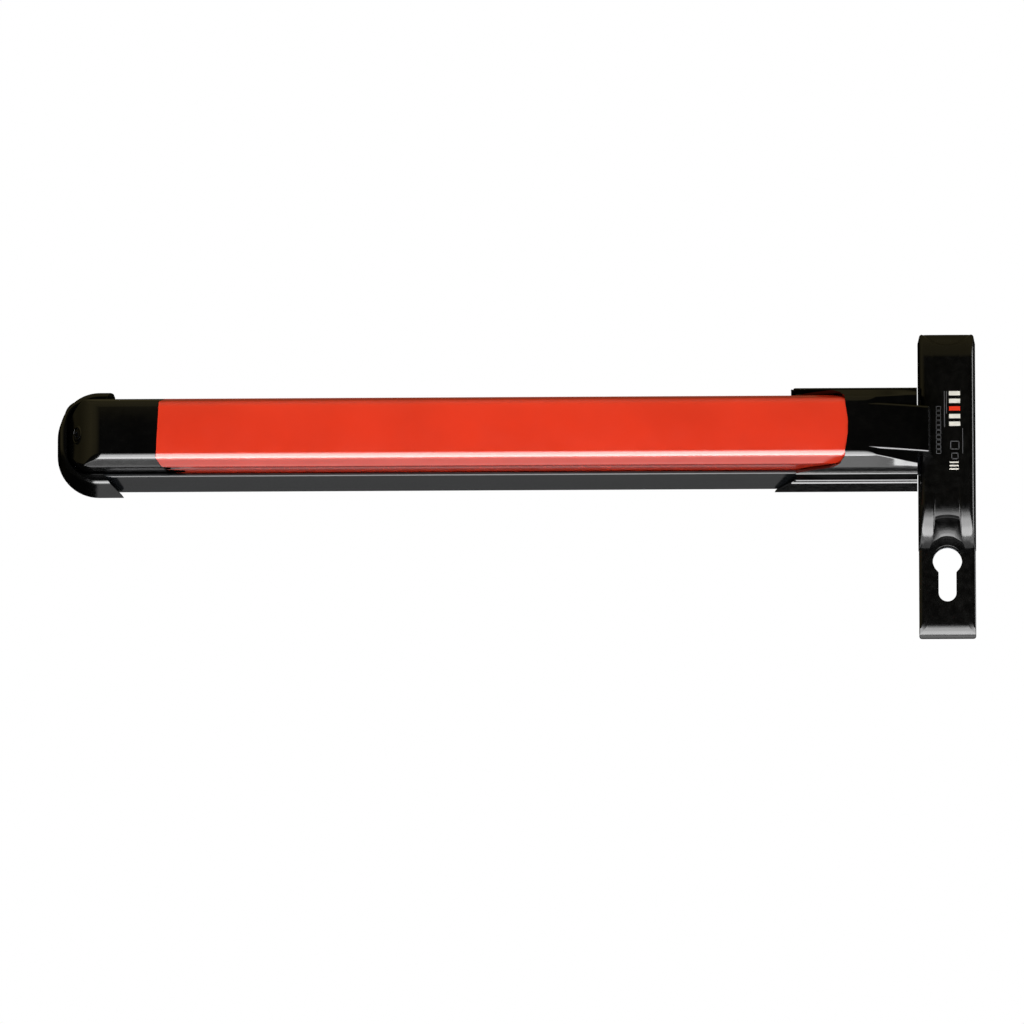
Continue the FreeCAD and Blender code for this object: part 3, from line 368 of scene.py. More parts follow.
def plated_steel(name, hex_colour, rough, tint="B7BCC4", period=3.0):
    """Rolled or turned steel under thin plating: patches of slightly different sheen and fine grain."""
    made, tree, shader = new_material(name, Metallic=1.0)
    vary_colour(tree, shader, grain(tree, period, 5.0, roughness=0.65), linear(hex_colour), linear(tint))
    vary_roughness(tree, shader, grain(tree, 0.8, 4.0, roughness=0.7), rough * 0.8, rough * 1.25)
    emboss(tree, shader, [(grain(tree, 0.4, 3.0), 0.01, 0.15)])
    return made


def moulded_matt(name, hex_colour, rough, sheen=1.15):
    """Matt moulded polymer: spark-eroded tool grain of about 0.4 mm."""
    rgba = linear(hex_colour)
    made, tree, shader = new_material(name, IOR=1.48)
    vary_colour(tree, shader, grain(tree, 6.0, 3.0), shade(rgba, 0.92), shade(rgba, sheen))
    vary_roughness(tree, shader, grain(tree, 1.0, 3.0), rough * 0.85, rough * 1.1)
    emboss(tree, shader, [(grain(tree, 0.4, 3.0), 0.02, 0.3)])
    return made


FINISHES = {}


def finishes():
    """Every finish by the record's slot name, made once."""
    if FINISHES:
        return FINISHES
    colours = bpy.context.scene.exit_device_colours
    FINISHES.update(
        {
            "red_painted_aluminium": powder_coat("red_powder_coat", (*colours.bar, 1)),
            "black_gloss_moulding": gloss_moulding("black_gloss_abs", (*colours.moulding, 1)),
            "charcoal_extrusion": drawn_coat("charcoal_drawn_aluminium", (*colours.rail, 1)),
            "black_cast_zinc": cast_enamel("black_enamelled_zinc", (*colours.enamel, 1)),
            "zinc_plated_steel": plated_steel("zinc_plated_steel", "9DA2A8", 0.34),
            "hardened_steel": plated_steel("ground_steel", "808388", 0.24, "93969B", 2.0),
            "black_oxide_steel": plated_steel("black_oxide_steel", "1B1C1F", 0.42, "2A2B2E", 2.0),
            "spring_steel": plated_steel("spring_wire", "5E6166", 0.3, "74777C", 1.5),
            "sintered_bronze": plated_steel("sintered_bronze", "8E6A3C", 0.5, "B08A55", 0.7),
            "white_acetal": moulded_matt("white_acetal", "DAD8D0", 0.42),
            "grey_nylon": moulded_matt("grey_nylon", "38393C", 0.55),
            "black_rubber": moulded_matt("black_rubber", "161617", 0.8, 1.3),
        }
    )
    return FINISHES


# ---------------------------------------------------------------- push bar and its end cap


SKIRT_FOOT = 27.5
SKIN = 1.8  # the push bar's wall
SEAM_LEAN, SEAM_TILT = 6.5, 0.055  # at the skirt's foot, and for each millimetre up
SEAM_GAP = 0.15  # on each side of the seam
WEB_START = -461.0


def lean(f, z, front):
    """How far the cap's seam leans along the bar: most at the skirt's foot, a little with height."""
    share = np.clip((front - 2 - f) / (front - 2 - SKIRT_FOOT), 0, 1)
    return SEAM_LEAN * (1 - (1 - share) ** 2) + SEAM_TILT * z


class EXITDEVICE_OT_push_bar(Operator):
    """Builds the red push bar: its folded section carried along the bar from the leaning seam"""

    bl_idname = "exit_device.push_bar"
    bl_label = "Push bar"

    def execute(self, context):
        s = context.scene.exit_device_sizes
        front, flat, half = s.bar_front / MM, s.bar_flat / MM, s.bar_half / MM
        shoulder, edge = s.bar_shoulder / MM, s.bar_edge / MM
        foot, inside = SKIRT_FOOT, half - SKIN
        skin = [
            (half - 1.2, foot, 0),
            (half + 1.2, foot, 0.3),
            (half + 1.2, foot + 1.7, 0.5),
            (half, foot + 2.9, 0.4),
            (half, shoulder, 6),
            (flat, front, edge),
        ]
        lining = [
            (inside, foot, 0),
            (inside, foot + 0.5, 0),
            (inside, foot + 1.5, 0),
            (inside, foot + 3.2, 0),
            (inside, shoulder - 0.6, 4.5),
            (flat - 1.3, front - SKIN, edge - SKIN),
        ]
        fill = 6
        paths = [outline(both_halves(corners), 10, fill)[:-fill] for corners in (skin, lining)]
        outer, inner = (crowned(path, flat)[None] for path in paths)
        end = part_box("push_bar")[1][0] / MM
        seam = s.cap_seam / MM + SEAM_GAP
        share = np.linspace(0, 1, 40)[:, None]

        def carried(path):
            start = seam + lean(path[..., 1], path[..., 0], front)
            return lay(start + share * (end - start), path[..., 1], path[..., 0])

        reach, low, high = inside + 0.1, 48.1, 49.8
        web = outline([(-reach, low, 0), (reach, low, 0), (reach, high, 0), (-reach, high, 0)], 1)[None]
        along = np.array([[WEB_START], [end]])
        web_body = prism_body(lay(along, web[..., 1], web[..., 0]))
        body = joined([wall(carried(outer), carried(inner)), web_body])
        make_piece("push_bar_extrusion", body, "push_bar", "red_painted_aluminium", ["push_bar"])
        return {"FINISHED"}


HOOD_CORNER = 16.0
NOSE_RUN, NOSE_DROP = 22.5, 35.0  # how far back the rounding starts, and how deep it falls
HOOD_OVERRUN = 9.0  # past the seam at the front flat
HOOD_FOOT = 26.0


def cap_grid(s, inset, share):
    """End cap's skin at stations share along it, moved inwards by inset.

    The front falls from the bar's level by NOSE_DROP (1 - (1 - t^2)^0.9) over NOSE_RUN, t running from 0
    to 1. The half height shrinks along a quarter circle of HOOD_CORNER. The sloped flank stays in its
    plane as both cut it.
    """
    front, flat, half = s.bar_front / MM, s.bar_flat / MM, s.bar_half / MM
    shoulder, seam, end = s.bar_shoulder / MM, s.cap_seam / MM, s.cap_end / MM
    start = seam + HOOD_OVERRUN
    x = start + share * (end + inset - start)
    t = np.clip((end + NOSE_RUN - x) / NOSE_RUN, 0, 1)
    level = (front - NOSE_DROP) + NOSE_DROP * np.clip(1 - t**2, 0, 1) ** 0.9 - inset
    corner = HOOD_CORNER - inset
    into = np.clip((end + HOOD_CORNER - x) / HOOD_CORNER, 0, 1 - inset / HOOD_CORNER)
    high = half - inset - corner + np.sqrt(np.maximum(corner**2 - (into * HOOD_CORNER) ** 2, 0.01))
    slope = (half - flat) / (front - shoulder)
    brow = np.minimum(flat - 0.6 * inset + (front - inset - level) * slope, high - 0.6)
    shoulder_at = np.minimum(shoulder - 0.3 * inset + (half - inset - high) / slope, level - 0.8)
    run = np.hypot(high - brow, level - shoulder_at)
    radius = np.clip(0.32 * run, 0.25, s.bar_edge / MM - 0.4 * inset)
    corners = np.stack(
        [
            np.stack([high, np.full_like(x, HOOD_FOOT), x * 0], -1),
            np.stack([high, shoulder_at, radius * 1.1], -1),
            np.stack([brow, level, radius], -1),
        ],
        axis=1,
    )
    fill = 5
    path = crowned(outline(both_halves(corners), 12, fill)[:, :-fill], flat)
    f, z = path[..., 1], path[..., 0]
    pull = 1 - share[:, None] ** 0.5
    x = x[:, None] + (lean(f, z, front) - HOOD_OVERRUN - SEAM_GAP) * pull
    return lay(x, f, z)


def closed_end(grid):
    """Grid with one more row: its last one, drawn together towards the middle plane."""
    return np.concatenate([grid, grid[-1:] * np.array([1, 1, 0.02])])


class EXITDEVICE_OT_end_cap(Operator):
    """Builds the push bar's end cap: the bar's section carried round its rounded nose"""

    bl_idname = "exit_device.end_cap"
    bl_label = "End cap"

    def execute(self, context):
        s = context.scene.exit_device_sizes
        share = 1 - (1 - np.linspace(0, 1, 90)) ** 1.6
        outer, inner = (closed_end(cap_grid(s, inset, share)) for inset in (0.0, 2.0))
        body = wall(outer, inner)
        make_piece("push_bar_end_hood", body, "push_bar", "black_gloss_moulding", ["push_bar_end_cap"])
        return {"FINISHED"}


CAP_SCREW_PLACE = (-516.6, 49.6, -0.5)
CAP_SCREW_AXIS = (-0.86, 0.5, 0.0)
CAP_SCREW_GROWTH = 1.12  # on the profiles of its head and rim


class EXITDEVICE_OT_end_screw(Operator):
    """Builds the head of the end cap's screw and the rim round it"""

    bl_idname = "exit_device.end_screw"
    bl_label = "End cap screw"

    def execute(self, context):
        head = [(0, -2.4, 0), (3.3, -2.4, 0), (3.3, 0.0, 0), (3.2, 0.25, 0), (2.9, 0.42, 0), (2.0, 0.55, 0)]
        head += [(1.75, 0.5, 0.22), (1.6, 0.35, 0.25), (1.5, -1.2, 0.25), (0, -1.3, 0)]
        rim = [(3.8, -1.6, 0), (3.8, 0.1, 0), (3.9, 0.35, 0), (4.15, 0.5, 0), (4.5, 0.42, 0), (5.0, -0.1, 0)]
        rim += [(5.1, -1.6, 0), (3.8, -1.6, 0)]
        for name, profile, slot in (
            ("end_cap_screw_head", head, "black_oxide_steel"),
            ("end_cap_screw_rim", rim, "black_gloss_moulding"),
        ):
            body = turned(np.array(profile) * CAP_SCREW_GROWTH, CAP_SCREW_PLACE, CAP_SCREW_AXIS)
            make_piece(name, body, "push_bar", slot)
        return {"FINISHED"}


# ---------------------------------------------------------------- end flange


UPPER_EAR = -496.0
EAR_END, EAR_LEAN, EAR_SLANT = -490.6, 0.143, 0.7
FLANGE_BASE = 30.3  # half height at the door
FLANGE_CORNER = 25.0
OPENING_CORNER = 11.6


def ear_end(across, f):
    """Where the flange's sides end along the bar: they lean back towards the front and the middle."""
    return EAR_END - EAR_LEAN * f - EAR_SLANT * (FLANGE_BASE - across)


def flange_loop(across, f, end, radius):
    """Open path round the flange at one level: from the right along the upper side, round and back."""
    right = ear_end(across, f)
    far = [(end, across, radius), (end, -across, radius)]
    corners = [(min(right, UPPER_EAR), across, 0), *far, (right, -across, 0)]
    fill = 6
    path = outline(corners, 16, fill)[:-fill]
    return lay(path[:, 0], f, path[:, 1])


class EXITDEVICE_OT_end_flange(Operator):
    """Builds the bezel round the rail's far end: rounded paths up the wall, over the ledge and down"""

    bl_idname = "exit_device.end_flange"
    bl_label = "End flange"

    def execute(self, context):
        s = context.scene.exit_device_sizes
        low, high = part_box("rail_end_flange")
        end, base, top = low[0] / MM, high[2] / MM, -low[1] / MM
        opening, lip = s.bar_half / MM + 0.8, s.cap_end / MM - 0.8
        edge, brim, thickness = 2.6, 0.9, 1.9

        rise = np.linspace(0, top - edge, 8)
        rows = [(base - 2.9 * f / top, f, end + 3 * f / top, FLANGE_CORNER - 1.5 * f / top) for f in rise]
        across, f, x, radius = rows[-1]
        for turn in np.radians(np.linspace(0, 90, 9))[1:]:
            back = edge * (1 - math.cos(turn))
            rows.append((across - back, f + edge * math.sin(turn), x + back, radius - back))
        for turn in np.radians(np.linspace(0, 90, 7)):
            back = brim * (1 - math.sin(turn))
            ledge = top - brim + brim * math.cos(turn)
            rows.append((opening + back, ledge, lip - back, OPENING_CORNER + back))
        rows += [(opening, f, lip, OPENING_CORNER) for f in (30.0, 20.0, 10.0, 0.0)]

        lining, lining_end = opening + 1.5, lip - 1.5
        inside = []
        for across, f, x, radius in rows:
            if across > opening + brim + 0.01:
                across, x = max(across - thickness, lining + 0.2), min(x + thickness, lining_end - 0.2)
            else:
                across, x = lining, lining_end
            inside.append((across, min(f, top - thickness), x, max(radius - thickness, 9)))
        body = wall(*(np.stack([flange_loop(*row) for row in side]) for side in (rows, inside)))
        make_piece("rail_end_bezel", body, "chassis", "black_gloss_moulding", ["rail_end_flange"])
        return {"FINISHED"}


BEAD = 1.15  # radius
BEAD_Z, BEAD_BACK = 22.1, 0.8  # height of its axis, and how far that lies behind the rail's lip


class EXITDEVICE_OT_rail_lips(Operator):
    """Builds the rounded beads along the rail's two lips"""

    bl_idname = "exit_device.rail_lips"
    bl_label = "Rail lip beads"

    def execute(self, context):
        low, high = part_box("chassis_rail")
        start, run, lip = low[0] / MM + 0.5, (high[0] - low[0]) / MM - 1.0, -low[1] / MM
        profile = [(0, 0, 0), (BEAD, 0, 0), (BEAD, run, 0), (0, run, 0)]
        places = [(start, lip - BEAD_BACK, side * BEAD_Z) for side in (-1, 1)]
        body = joined([turned(profile, place, (1, 0, 0), 40) for place in places])
        make_piece("rail_lip_beads", body, "chassis", "charcoal_extrusion", sharp=50)
        return {"FINISHED"}


# ---------------------------------------------------------------- lock-side cover


def cover_edge(f):
    """Cover's free edge along the bar at height f: a Bezier curve from the front, then a straight run."""
    t = np.linspace(0, 1, 80)[:, None]
    knots = np.array([(-58.8, 68.5), (-59.6, 57.0), (-76.0, 53.5), (-89.5, 36.0)])
    weights = np.concatenate([(1 - t) ** 3, 3 * t * (1 - t) ** 2, 3 * t**2 * (1 - t), t**3], axis=1)
    curve = np.concatenate([weights @ knots, [(-102.7, 0.0)]])
    return np.interp(f, curve[::-1, 1], curve[::-1, 0])


def ramp(x, slope, start=-44.0, ease=3.0):
    """Fall of a ramp from x = start, rounded over ease: slope times a soft maximum of x - start and 0."""
    past = x - start
    return slope * (past + np.sqrt(past**2 + ease**2)) / 2


COVER_LEFT, COVER_RIGHT = -75.0, -17.6
COVER_FLAT = 17.4  # half height of its front flat
BOX_TOP = 35.2  # the wider box that the hump stands on
BOX_CORNER_X = -92.6
GROOVE = 0.8  # depth of the line round the box
RAMP_SLOPE, TONGUE_SLOPE = 0.53, 0.4


def cover_grid(s, inset, share):
    """Lock-side cover's skin: a hump on a wider box, carried from the swept edge to the lock case."""
    front, half = s.cover_front / MM, s.cover_half / MM
    wall_in, groove, box_edge = (1.5, 0, 0.1) if inset else (0, GROOVE, 1.0)
    station = COVER_LEFT + share * (COVER_RIGHT - COVER_LEFT)
    fall = np.where(share < 0.2, 0, ramp(station, RAMP_SLOPE))
    level = front - inset - fall
    brow = COVER_FLAT - 0.3 * inset + fall * (half - COVER_FLAT) / 26
    sharp = np.clip(1 - fall / 1.5, 0, 1)
    rows = [
        (28.9 - wall_in, 0, 0),
        (28.4 - wall_in, 27.6, 0.2),
        (28.4 - wall_in - groove, 28.3, 0.3),
        (28.3 - wall_in - groove, 31.5, 0.3),
        (28.2 - wall_in, 32.2 - 0.4 * inset, 0.2),
        (28.1 - wall_in, BOX_TOP - inset, box_edge),
        (half - inset, BOX_TOP - inset, 0.9),
        (half - inset, np.minimum(55.5, level - 2.5), 5.0 - inset),
        (brow, level, 1.0 + (3.6 - inset) * sharp),
    ]
    corners = np.stack([lay(*row, share)[..., :3] for row in rows], axis=1)
    fill = 2
    path = outline(both_halves(corners), 8, fill)[:, :-fill]
    f, z = path[..., 1], path[..., 0]
    bow = 1.6 * np.clip((np.abs(z[:1]) - 5) / 9, 0, 1) ** 2 * (f[:1] > 60)
    start = cover_edge(f[:1] + inset) - bow
    start = np.where((z[:1] > 12) & (f[:1] <= BOX_TOP + 0.1), np.maximum(start, BOX_CORNER_X), start)
    x = start + share[:, None] * (COVER_RIGHT - start)
    blend = np.clip((station[:, None] + 60) / 14, 0, 1)
    return lay(x * (1 - blend) + station[:, None] * blend, f, z)


class EXITDEVICE_OT_lock_side_cover(Operator):
    """Builds the cover over the bar's hidden end, with ramps down to the lock case and a tongue over it"""

    bl_idname = "exit_device.lock_side_cover"
    bl_label = "Lock-side cover"

    def execute(self, context):
        s = context.scene.exit_device_sizes
        share = np.linspace(0, 1, 110)
        skins = []
        for inset in (0.0, 2.0):
            skin = cover_grid(s, inset, share)
            last = skin[-1:]
            closing = np.where(last[..., 1:2] > s.case_front / MM + 0.5, last * np.array([1, 1, 0]), last)
            skin[-1, :, 0] -= inset
            closing[..., 0] -= inset
            skins.append(np.concatenate([skin, closing]))
        body = joined([wall(*skins), tongue_body(s)])
        make_piece("lock_side_hump", body, "chassis", "black_gloss_moulding", ["lock_side_cover"])
        return {"FINISHED"}


TONGUE_HALF, TONGUE_END = 13.8, -8.4


def tongue_body(s):
    """Closed tongue: a rounded section whose top falls along the ramp, cut off by a leaning end."""
    front, seat = s.cover_front / MM, s.case_front / MM + 0.4
    station = np.concatenate([np.linspace(-58, -50, 3), np.linspace(-49, TONGUE_END, 60)])
    top = front - 0.02 - ramp(station, TONGUE_SLOPE)
    rows = [(TONGUE_HALF, seat, 0.2), (TONGUE_HALF, top, 1.3)]
    corners = np.stack([lay(*row, station)[..., :3] for row in rows], axis=1)
    path = outline(both_halves(corners), 8, fill=4)
    f, z = path[..., 1], path[..., 0]
    end = np.linspace(0, 1, len(station))[:, None] ** 4 * -3.0 * (f - seat) / 20
    return prism_body(lay(station[:, None] + end, f, z))


# ---------------------------------------------------------------- lock case and cylinder plate


SCOOP_RECESS, SCOOP_RIM, LAND_WIDTH = 23.4, 23.7, 11.1
LAND_F, LAND_FALL = 24.0, 2.0
CASE_TOP, CASE_BOTTOM = 62.8, -65.0
TOP_ARC, BOTTOM_ARC = 17.0, 24.0
CASE_DRAFT, CASE_EDGE, CASE_END_EDGE = 1.4, 3.2, 3.0
DISH_RADIUS, DISH_Z, DISH_DEPTH = 17.4, 70.7, 3.2


def scoop_radius(f, inset=0.0):
    """Finger scoop round the cylinder: straight near the plate, a gently crowned land, a wider recess."""
    land = SCOOP_RIM - LAND_WIDTH * np.clip((LAND_F - f) / LAND_FALL, 0, 1) ** 0.36
    return np.minimum(land, SCOOP_RECESS) + inset


def case_level(s, z, inset=0.0):
    """Side view of the case: one arc down to the plate and a smaller one at the top."""
    front = s.case_front / MM

    def arc(radius, past):
        within = np.clip(past, 0, radius - inset)
        return front - radius + np.sqrt(np.maximum((radius - inset) ** 2 - within**2, 0))

    low, high = arc(BOTTOM_ARC, CASE_BOTTOM + BOTTOM_ARC - z), arc(TOP_ARC, z - CASE_TOP + TOP_ARC)
    return np.minimum(np.minimum(low, high), front - inset)


def case_grid(s, inset):
    """Lock case's skin: rows up the case, columns from one side over the front to the other.

    Each column starts where its line meets the finger scoop, found on a fine scale, and rows below that
    follow the scoop's wall down to the plate. A shallow dish is pressed into the top end.
    """
    half, front, drop = s.case_half / MM, s.case_front / MM, s.cylinder_drop / MM
    side = np.linspace(0, 1, 14)
    arc = np.radians(np.linspace(0, 90, 10))[1:]
    flat = np.cos(np.linspace(0, np.pi, 27))[1:-1]
    zero, one = np.zeros, np.ones
    reach = np.concatenate([one(14), one(9), flat, -one(9), -one(14)])
    round_x = np.concatenate([one(14), np.cos(arc), zero(25), -np.cos(arc[::-1]), -one(14)])
    up = np.concatenate([side, one(9 + 25 + 9), side[::-1]])
    round_f = np.concatenate([zero(14), np.sin(arc), one(25), np.sin(arc[::-1]), zero(14)])
    edge = max(CASE_EDGE - inset, 0.6)

    def point(z):
        level = case_level(s, z, inset)
        f = up * (level - edge) + round_f * edge
        past = np.clip(z - CASE_TOP + CASE_END_EDGE, 0, CASE_END_EDGE - inset)
        shut = CASE_END_EDGE - np.sqrt(np.maximum(CASE_END_EDGE**2 - past**2, 0))
        width = half - inset - CASE_DRAFT * f / front - shut
        return reach * (width - edge) + round_x * edge, f

    low, high = CASE_BOTTOM + inset, CASE_TOP - inset
    probe = np.linspace(low, -38, 600)[:, None]
    x, f = point(probe)
    outside = np.hypot(x, probe + drop) > scoop_radius(f, inset)
    start = probe[np.argmax(outside, axis=0), 0]
    meets = ~outside[0]
    share = [np.linspace(0, 0.3, 46), np.linspace(0.3, 0.8, 24)[1:], np.linspace(0.8, 1, 60)[1:]]
    z = start + np.concatenate(share)[:, None] * (high - start)
    x, f = point(z)
    dish = np.clip((DISH_RADIUS + inset - np.hypot(x, z - DISH_Z)) / 1.4, 0, 1)
    f = f - DISH_DEPTH * dish**2 * (3 - 2 * dish) * (np.abs(x) < 14.5)
    skin = lay(x, f, z)
    land = LAND_F - LAND_FALL * np.linspace(0.06, 1, 22) ** 2.8
    levels = np.array([34, 32, 30, 28, 26, 24.6, 24.2, 24.05, *land, 21.9, 19, 17, 14, 11.2, 10.25])
    down = np.linspace(0, 1, len(levels) + 1)[1:, None]
    foot_f = np.minimum(f[0], levels[:, None])
    angle = np.arctan2(x[0], z[0] + drop)
    radius = scoop_radius(foot_f, inset)
    limit = np.arccos(np.clip((low + drop) / radius, -1, 1))
    angle = np.clip(angle, -limit, limit)
    scooped = lay(radius * np.sin(angle), foot_f, radius * np.cos(angle) - drop)
    inward = np.sign(x[0]) * np.sqrt(np.maximum(scoop_radius(f[0], inset) ** 2 - (low + drop) ** 2, 0))
    shelf = lay(x[0] + down * (inward - x[0]), f[0], low)
    below = np.where(meets[None, :, None], scooped, shelf)[::-1]
    top = lay(x[-1], f[-1] * (1 - down), high)
    return np.concatenate([below, skin, top])


class EXITDEVICE_OT_lock_case(Operator):
    """Builds the cast lock case over the spindle, scooped below for the cylinder and dished on top"""

    bl_idname = "exit_device.lock_case"
    bl_label = "Lock case"

    def execute(self, context):
        s = context.scene.exit_device_sizes
        body = wall(case_grid(s, 0.0), case_grid(s, 2.0))
        make_piece("lock_case_casting", body, "chassis", "black_cast_zinc", ["lock_case"], sharp=28)
        return {"FINISHED"}


HOLE_MIDDLE = np.array([0, -76.0])  # (x, z) that the plate's rings are drawn from
SLOT_HALF, HOLE_HEIGHT = 5.3, 33.5


def profile_reach(direction, s, grow):
    """Distance from the hole's middle to its edge, along unit directions.

    The hole is a circle over a narrower round-ended slot. The reach is the furthest crossing of the circle,
    the slot's side or the slot's round end.
    """
    radius, foot, drop = s.cylinder_radius / MM, SLOT_HALF + grow, s.cylinder_drop / MM
    round_top = np.array([0, -drop])
    round_end = np.array([0, -drop + radius - HOLE_HEIGHT + SLOT_HALF])

    def circle(middle, size):
        b = direction @ (HOLE_MIDDLE - middle)
        inside = b**2 - ((HOLE_MIDDLE - middle) ** 2).sum() + size**2
        return np.where(inside > 0, -b + np.sqrt(np.maximum(inside, 0)), 0)

    side = foot / np.maximum(np.abs(direction[..., 0]), 1e-6)
    side_z = HOLE_MIDDLE[1] + side * direction[..., 1]
    side = np.where((side_z <= round_top[1]) & (side_z >= round_end[1]), side, 0)
    far = circle(round_end, foot)
    far = np.where(HOLE_MIDDLE[1] + far * direction[..., 1] < round_end[1], far, 0)
    return np.maximum(np.maximum(circle(round_top, radius + grow), side), far)


def frame_of(x, z, line):
    """Ranges of the four thin bars that draw a rectangle's outline."""
    (x0, x1), (z0, z1) = x, z
    upright = [((x0, x0 + line), z), ((x1 - line, x1), z)]
    return upright + [(x, (z0, z0 + line)), (x, (z1 - line, z1))]


class EXITDEVICE_OT_printed_marks(Operator):
    """Builds the plain printed bars and cells on the lock case's front; they stand for no lettering"""

    bl_idname = "exit_device.printed_marks"
    bl_label = "Printed marks"

    def execute(self, context):
        front = context.scene.exit_device_sizes.case_front / MM
        bar, lines = (1.4, 8.0), (1.6, 7.0)
        white = [(bar, (low, low + 2.6)) for low in (4.6, 9.2, 18.4, 23.0)]
        white += [(lines, (low, low + 0.9)) for low in (-21.8, -19.8, -17.8)]
        red = [(bar, (13.8, 16.4))]
        grey = [((-1.6, -1.1), (4.0, 25.6)), ((-0.3, 0.1), (12.0, 25.6)), ((9.2, 9.6), (-12.0, 3.0))]
        for place in range(10):
            low = 14.0 - 2.9 * place
            grey += frame_of((-6.4, -3.4), (low, low + 2.6), 0.35)
        grey += frame_of((2.0, 7.4), (-9.6, -4.4), 0.5) + frame_of((2.6, 6.8), (-15.4, -11.6), 0.5)
        for name, bars, slot in (
            ("printed_marks_white", white, "white_acetal"),
            ("printed_marks_red", red, "red_painted_aluminium"),
            ("printed_marks_grey", grey, "grey_nylon"),
        ):
            body = joined([slab(x, z, front - 0.05, front + 0.06) for x, z in bars])
            make_piece(name, body, "chassis", slot)
        return {"FINISHED"}


PLATE_HALF, POST_HALF = 16.95, 14.2  # half widths below the case and inside it
PLATE_EDGE, PLATE_END_ARC = 2.4, 8.0


class EXITDEVICE_OT_cylinder_plate(Operator):
    """Builds the cast plate round the cylinder hole: rings from the hole's edge out to the rounded rim"""

    bl_idname = "exit_device.cylinder_plate"
    bl_label = "Cylinder plate"

    def execute(self, context):
        s = context.scene.exit_device_sizes
        low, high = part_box("cylinder_plate")
        bottom, front = low[2] / MM, -low[1] / MM

        def rim(side_in, end_in):
            wide, narrow = PLATE_HALF - side_in, POST_HALF - side_in
            step = CASE_BOTTOM - 0.3
            corners = [(wide, bottom + end_in, 1.6), (wide, step, 0.2)]
            corners += [(narrow, step, 0.2), (narrow, -48, 0.8)]
            corners += [(-a, b, r) for a, b, r in reversed(corners)]
            return outline(corners, 8, fill=18)

        def rounded(past, radius):
            return front - radius + np.sqrt(np.maximum(radius**2 - np.clip(past, 0, radius) ** 2, 0))

        def level(points):
            side = rounded(np.abs(points[:, 0]) - (PLATE_HALF - PLATE_EDGE - 0.05), PLATE_EDGE)
            return np.minimum(side, rounded(bottom + PLATE_END_ARC - points[:, 1], PLATE_END_ARC))

        foot = rim(0, 0)
        rings = [lay(foot[:, 0], 0.0, foot[:, 1])]
        for inset in (0, 0.03, 0.12, 0.3, 0.6, 1.0, 1.5, 2.1, 2.8, 3.8, 5.0, 6.4, 8.0):
            ring = rim(min(inset, 4.5), inset)
            rings.append(lay(ring[:, 0], level(ring), ring[:, 1]))
        direction = unit(rings[-1][:, [0, 2]] - HOLE_MIDDLE)
        brim, reach = profile_reach(direction, s, 0.5), profile_reach(direction, s, 0.0)
        for radius, f in ((brim, front), (reach + 0.15, front - 0.15), (reach, front - 0.6), (reach, 2.6)):
            edge = HOLE_MIDDLE + direction * radius[:, None]
            rings.append(lay(edge[:, 0], f, edge[:, 1]))
        body = (np.concatenate(rings), quads(len(rings), len(foot), wrap=True))
        make_piece("cylinder_plate_casting", body, "chassis", "black_cast_zinc", ["cylinder_plate"], sharp=30)
        return {"FINISHED"}


# ---------------------------------------------------------------- carried-over parts


class EXITDEVICE_OT_finish_parts(Operator):
    """Gives every part kept from the model the finish of its slot"""

    bl_idname = "exit_device.finish_parts"
    bl_label = "Finish kept parts"

    def execute(self, context):
        slots = {row["node"]: row["material_slot"] for row in frame["record"]["subparts"]}
        made = finishes()
        for name, obj in NODES.items():
            for slot in obj.material_slots:
                slot.material = made[slots[name]]
        return {"FINISHED"}


# ---------------------------------------------------------------- stage


def soft_light(name, place, target, size, power):
    """White rectangular softbox that faces target."""
    lamp = bpy.data.lights.new(name, "AREA")
    lamp.shape = "RECTANGLE"
    lamp.size, lamp.size_y = size
    lamp.energy = power
    obj = bpy.data.objects.new(name, lamp)
    obj.location = place
    obj.rotation_euler = (Vector(target) - Vector(place)).to_track_quat("-Z", "Y").to_euler()
    obj.visible_camera = False
    bpy.context.scene.collection.objects.link(obj)
    return obj


MIDDLE_X = -0.26
FLOOR_Z, TABLE_Z, TABLE_WIDTH = -1.2, -0.5, 1.24


def strip_light(name, near, far, radiance):
    """Strip of the light table under the bar, from near to far in front of the door, for reflections only."""
    place, deep = (0.0, -(near + far) / 2, TABLE_Z), far - near
    power = math.pi * TABLE_WIDTH * deep * radiance
    strip = soft_light(name, place, (place[0], place[1], 0), (TABLE_WIDTH, deep), power)
    strip.visible_diffuse = False


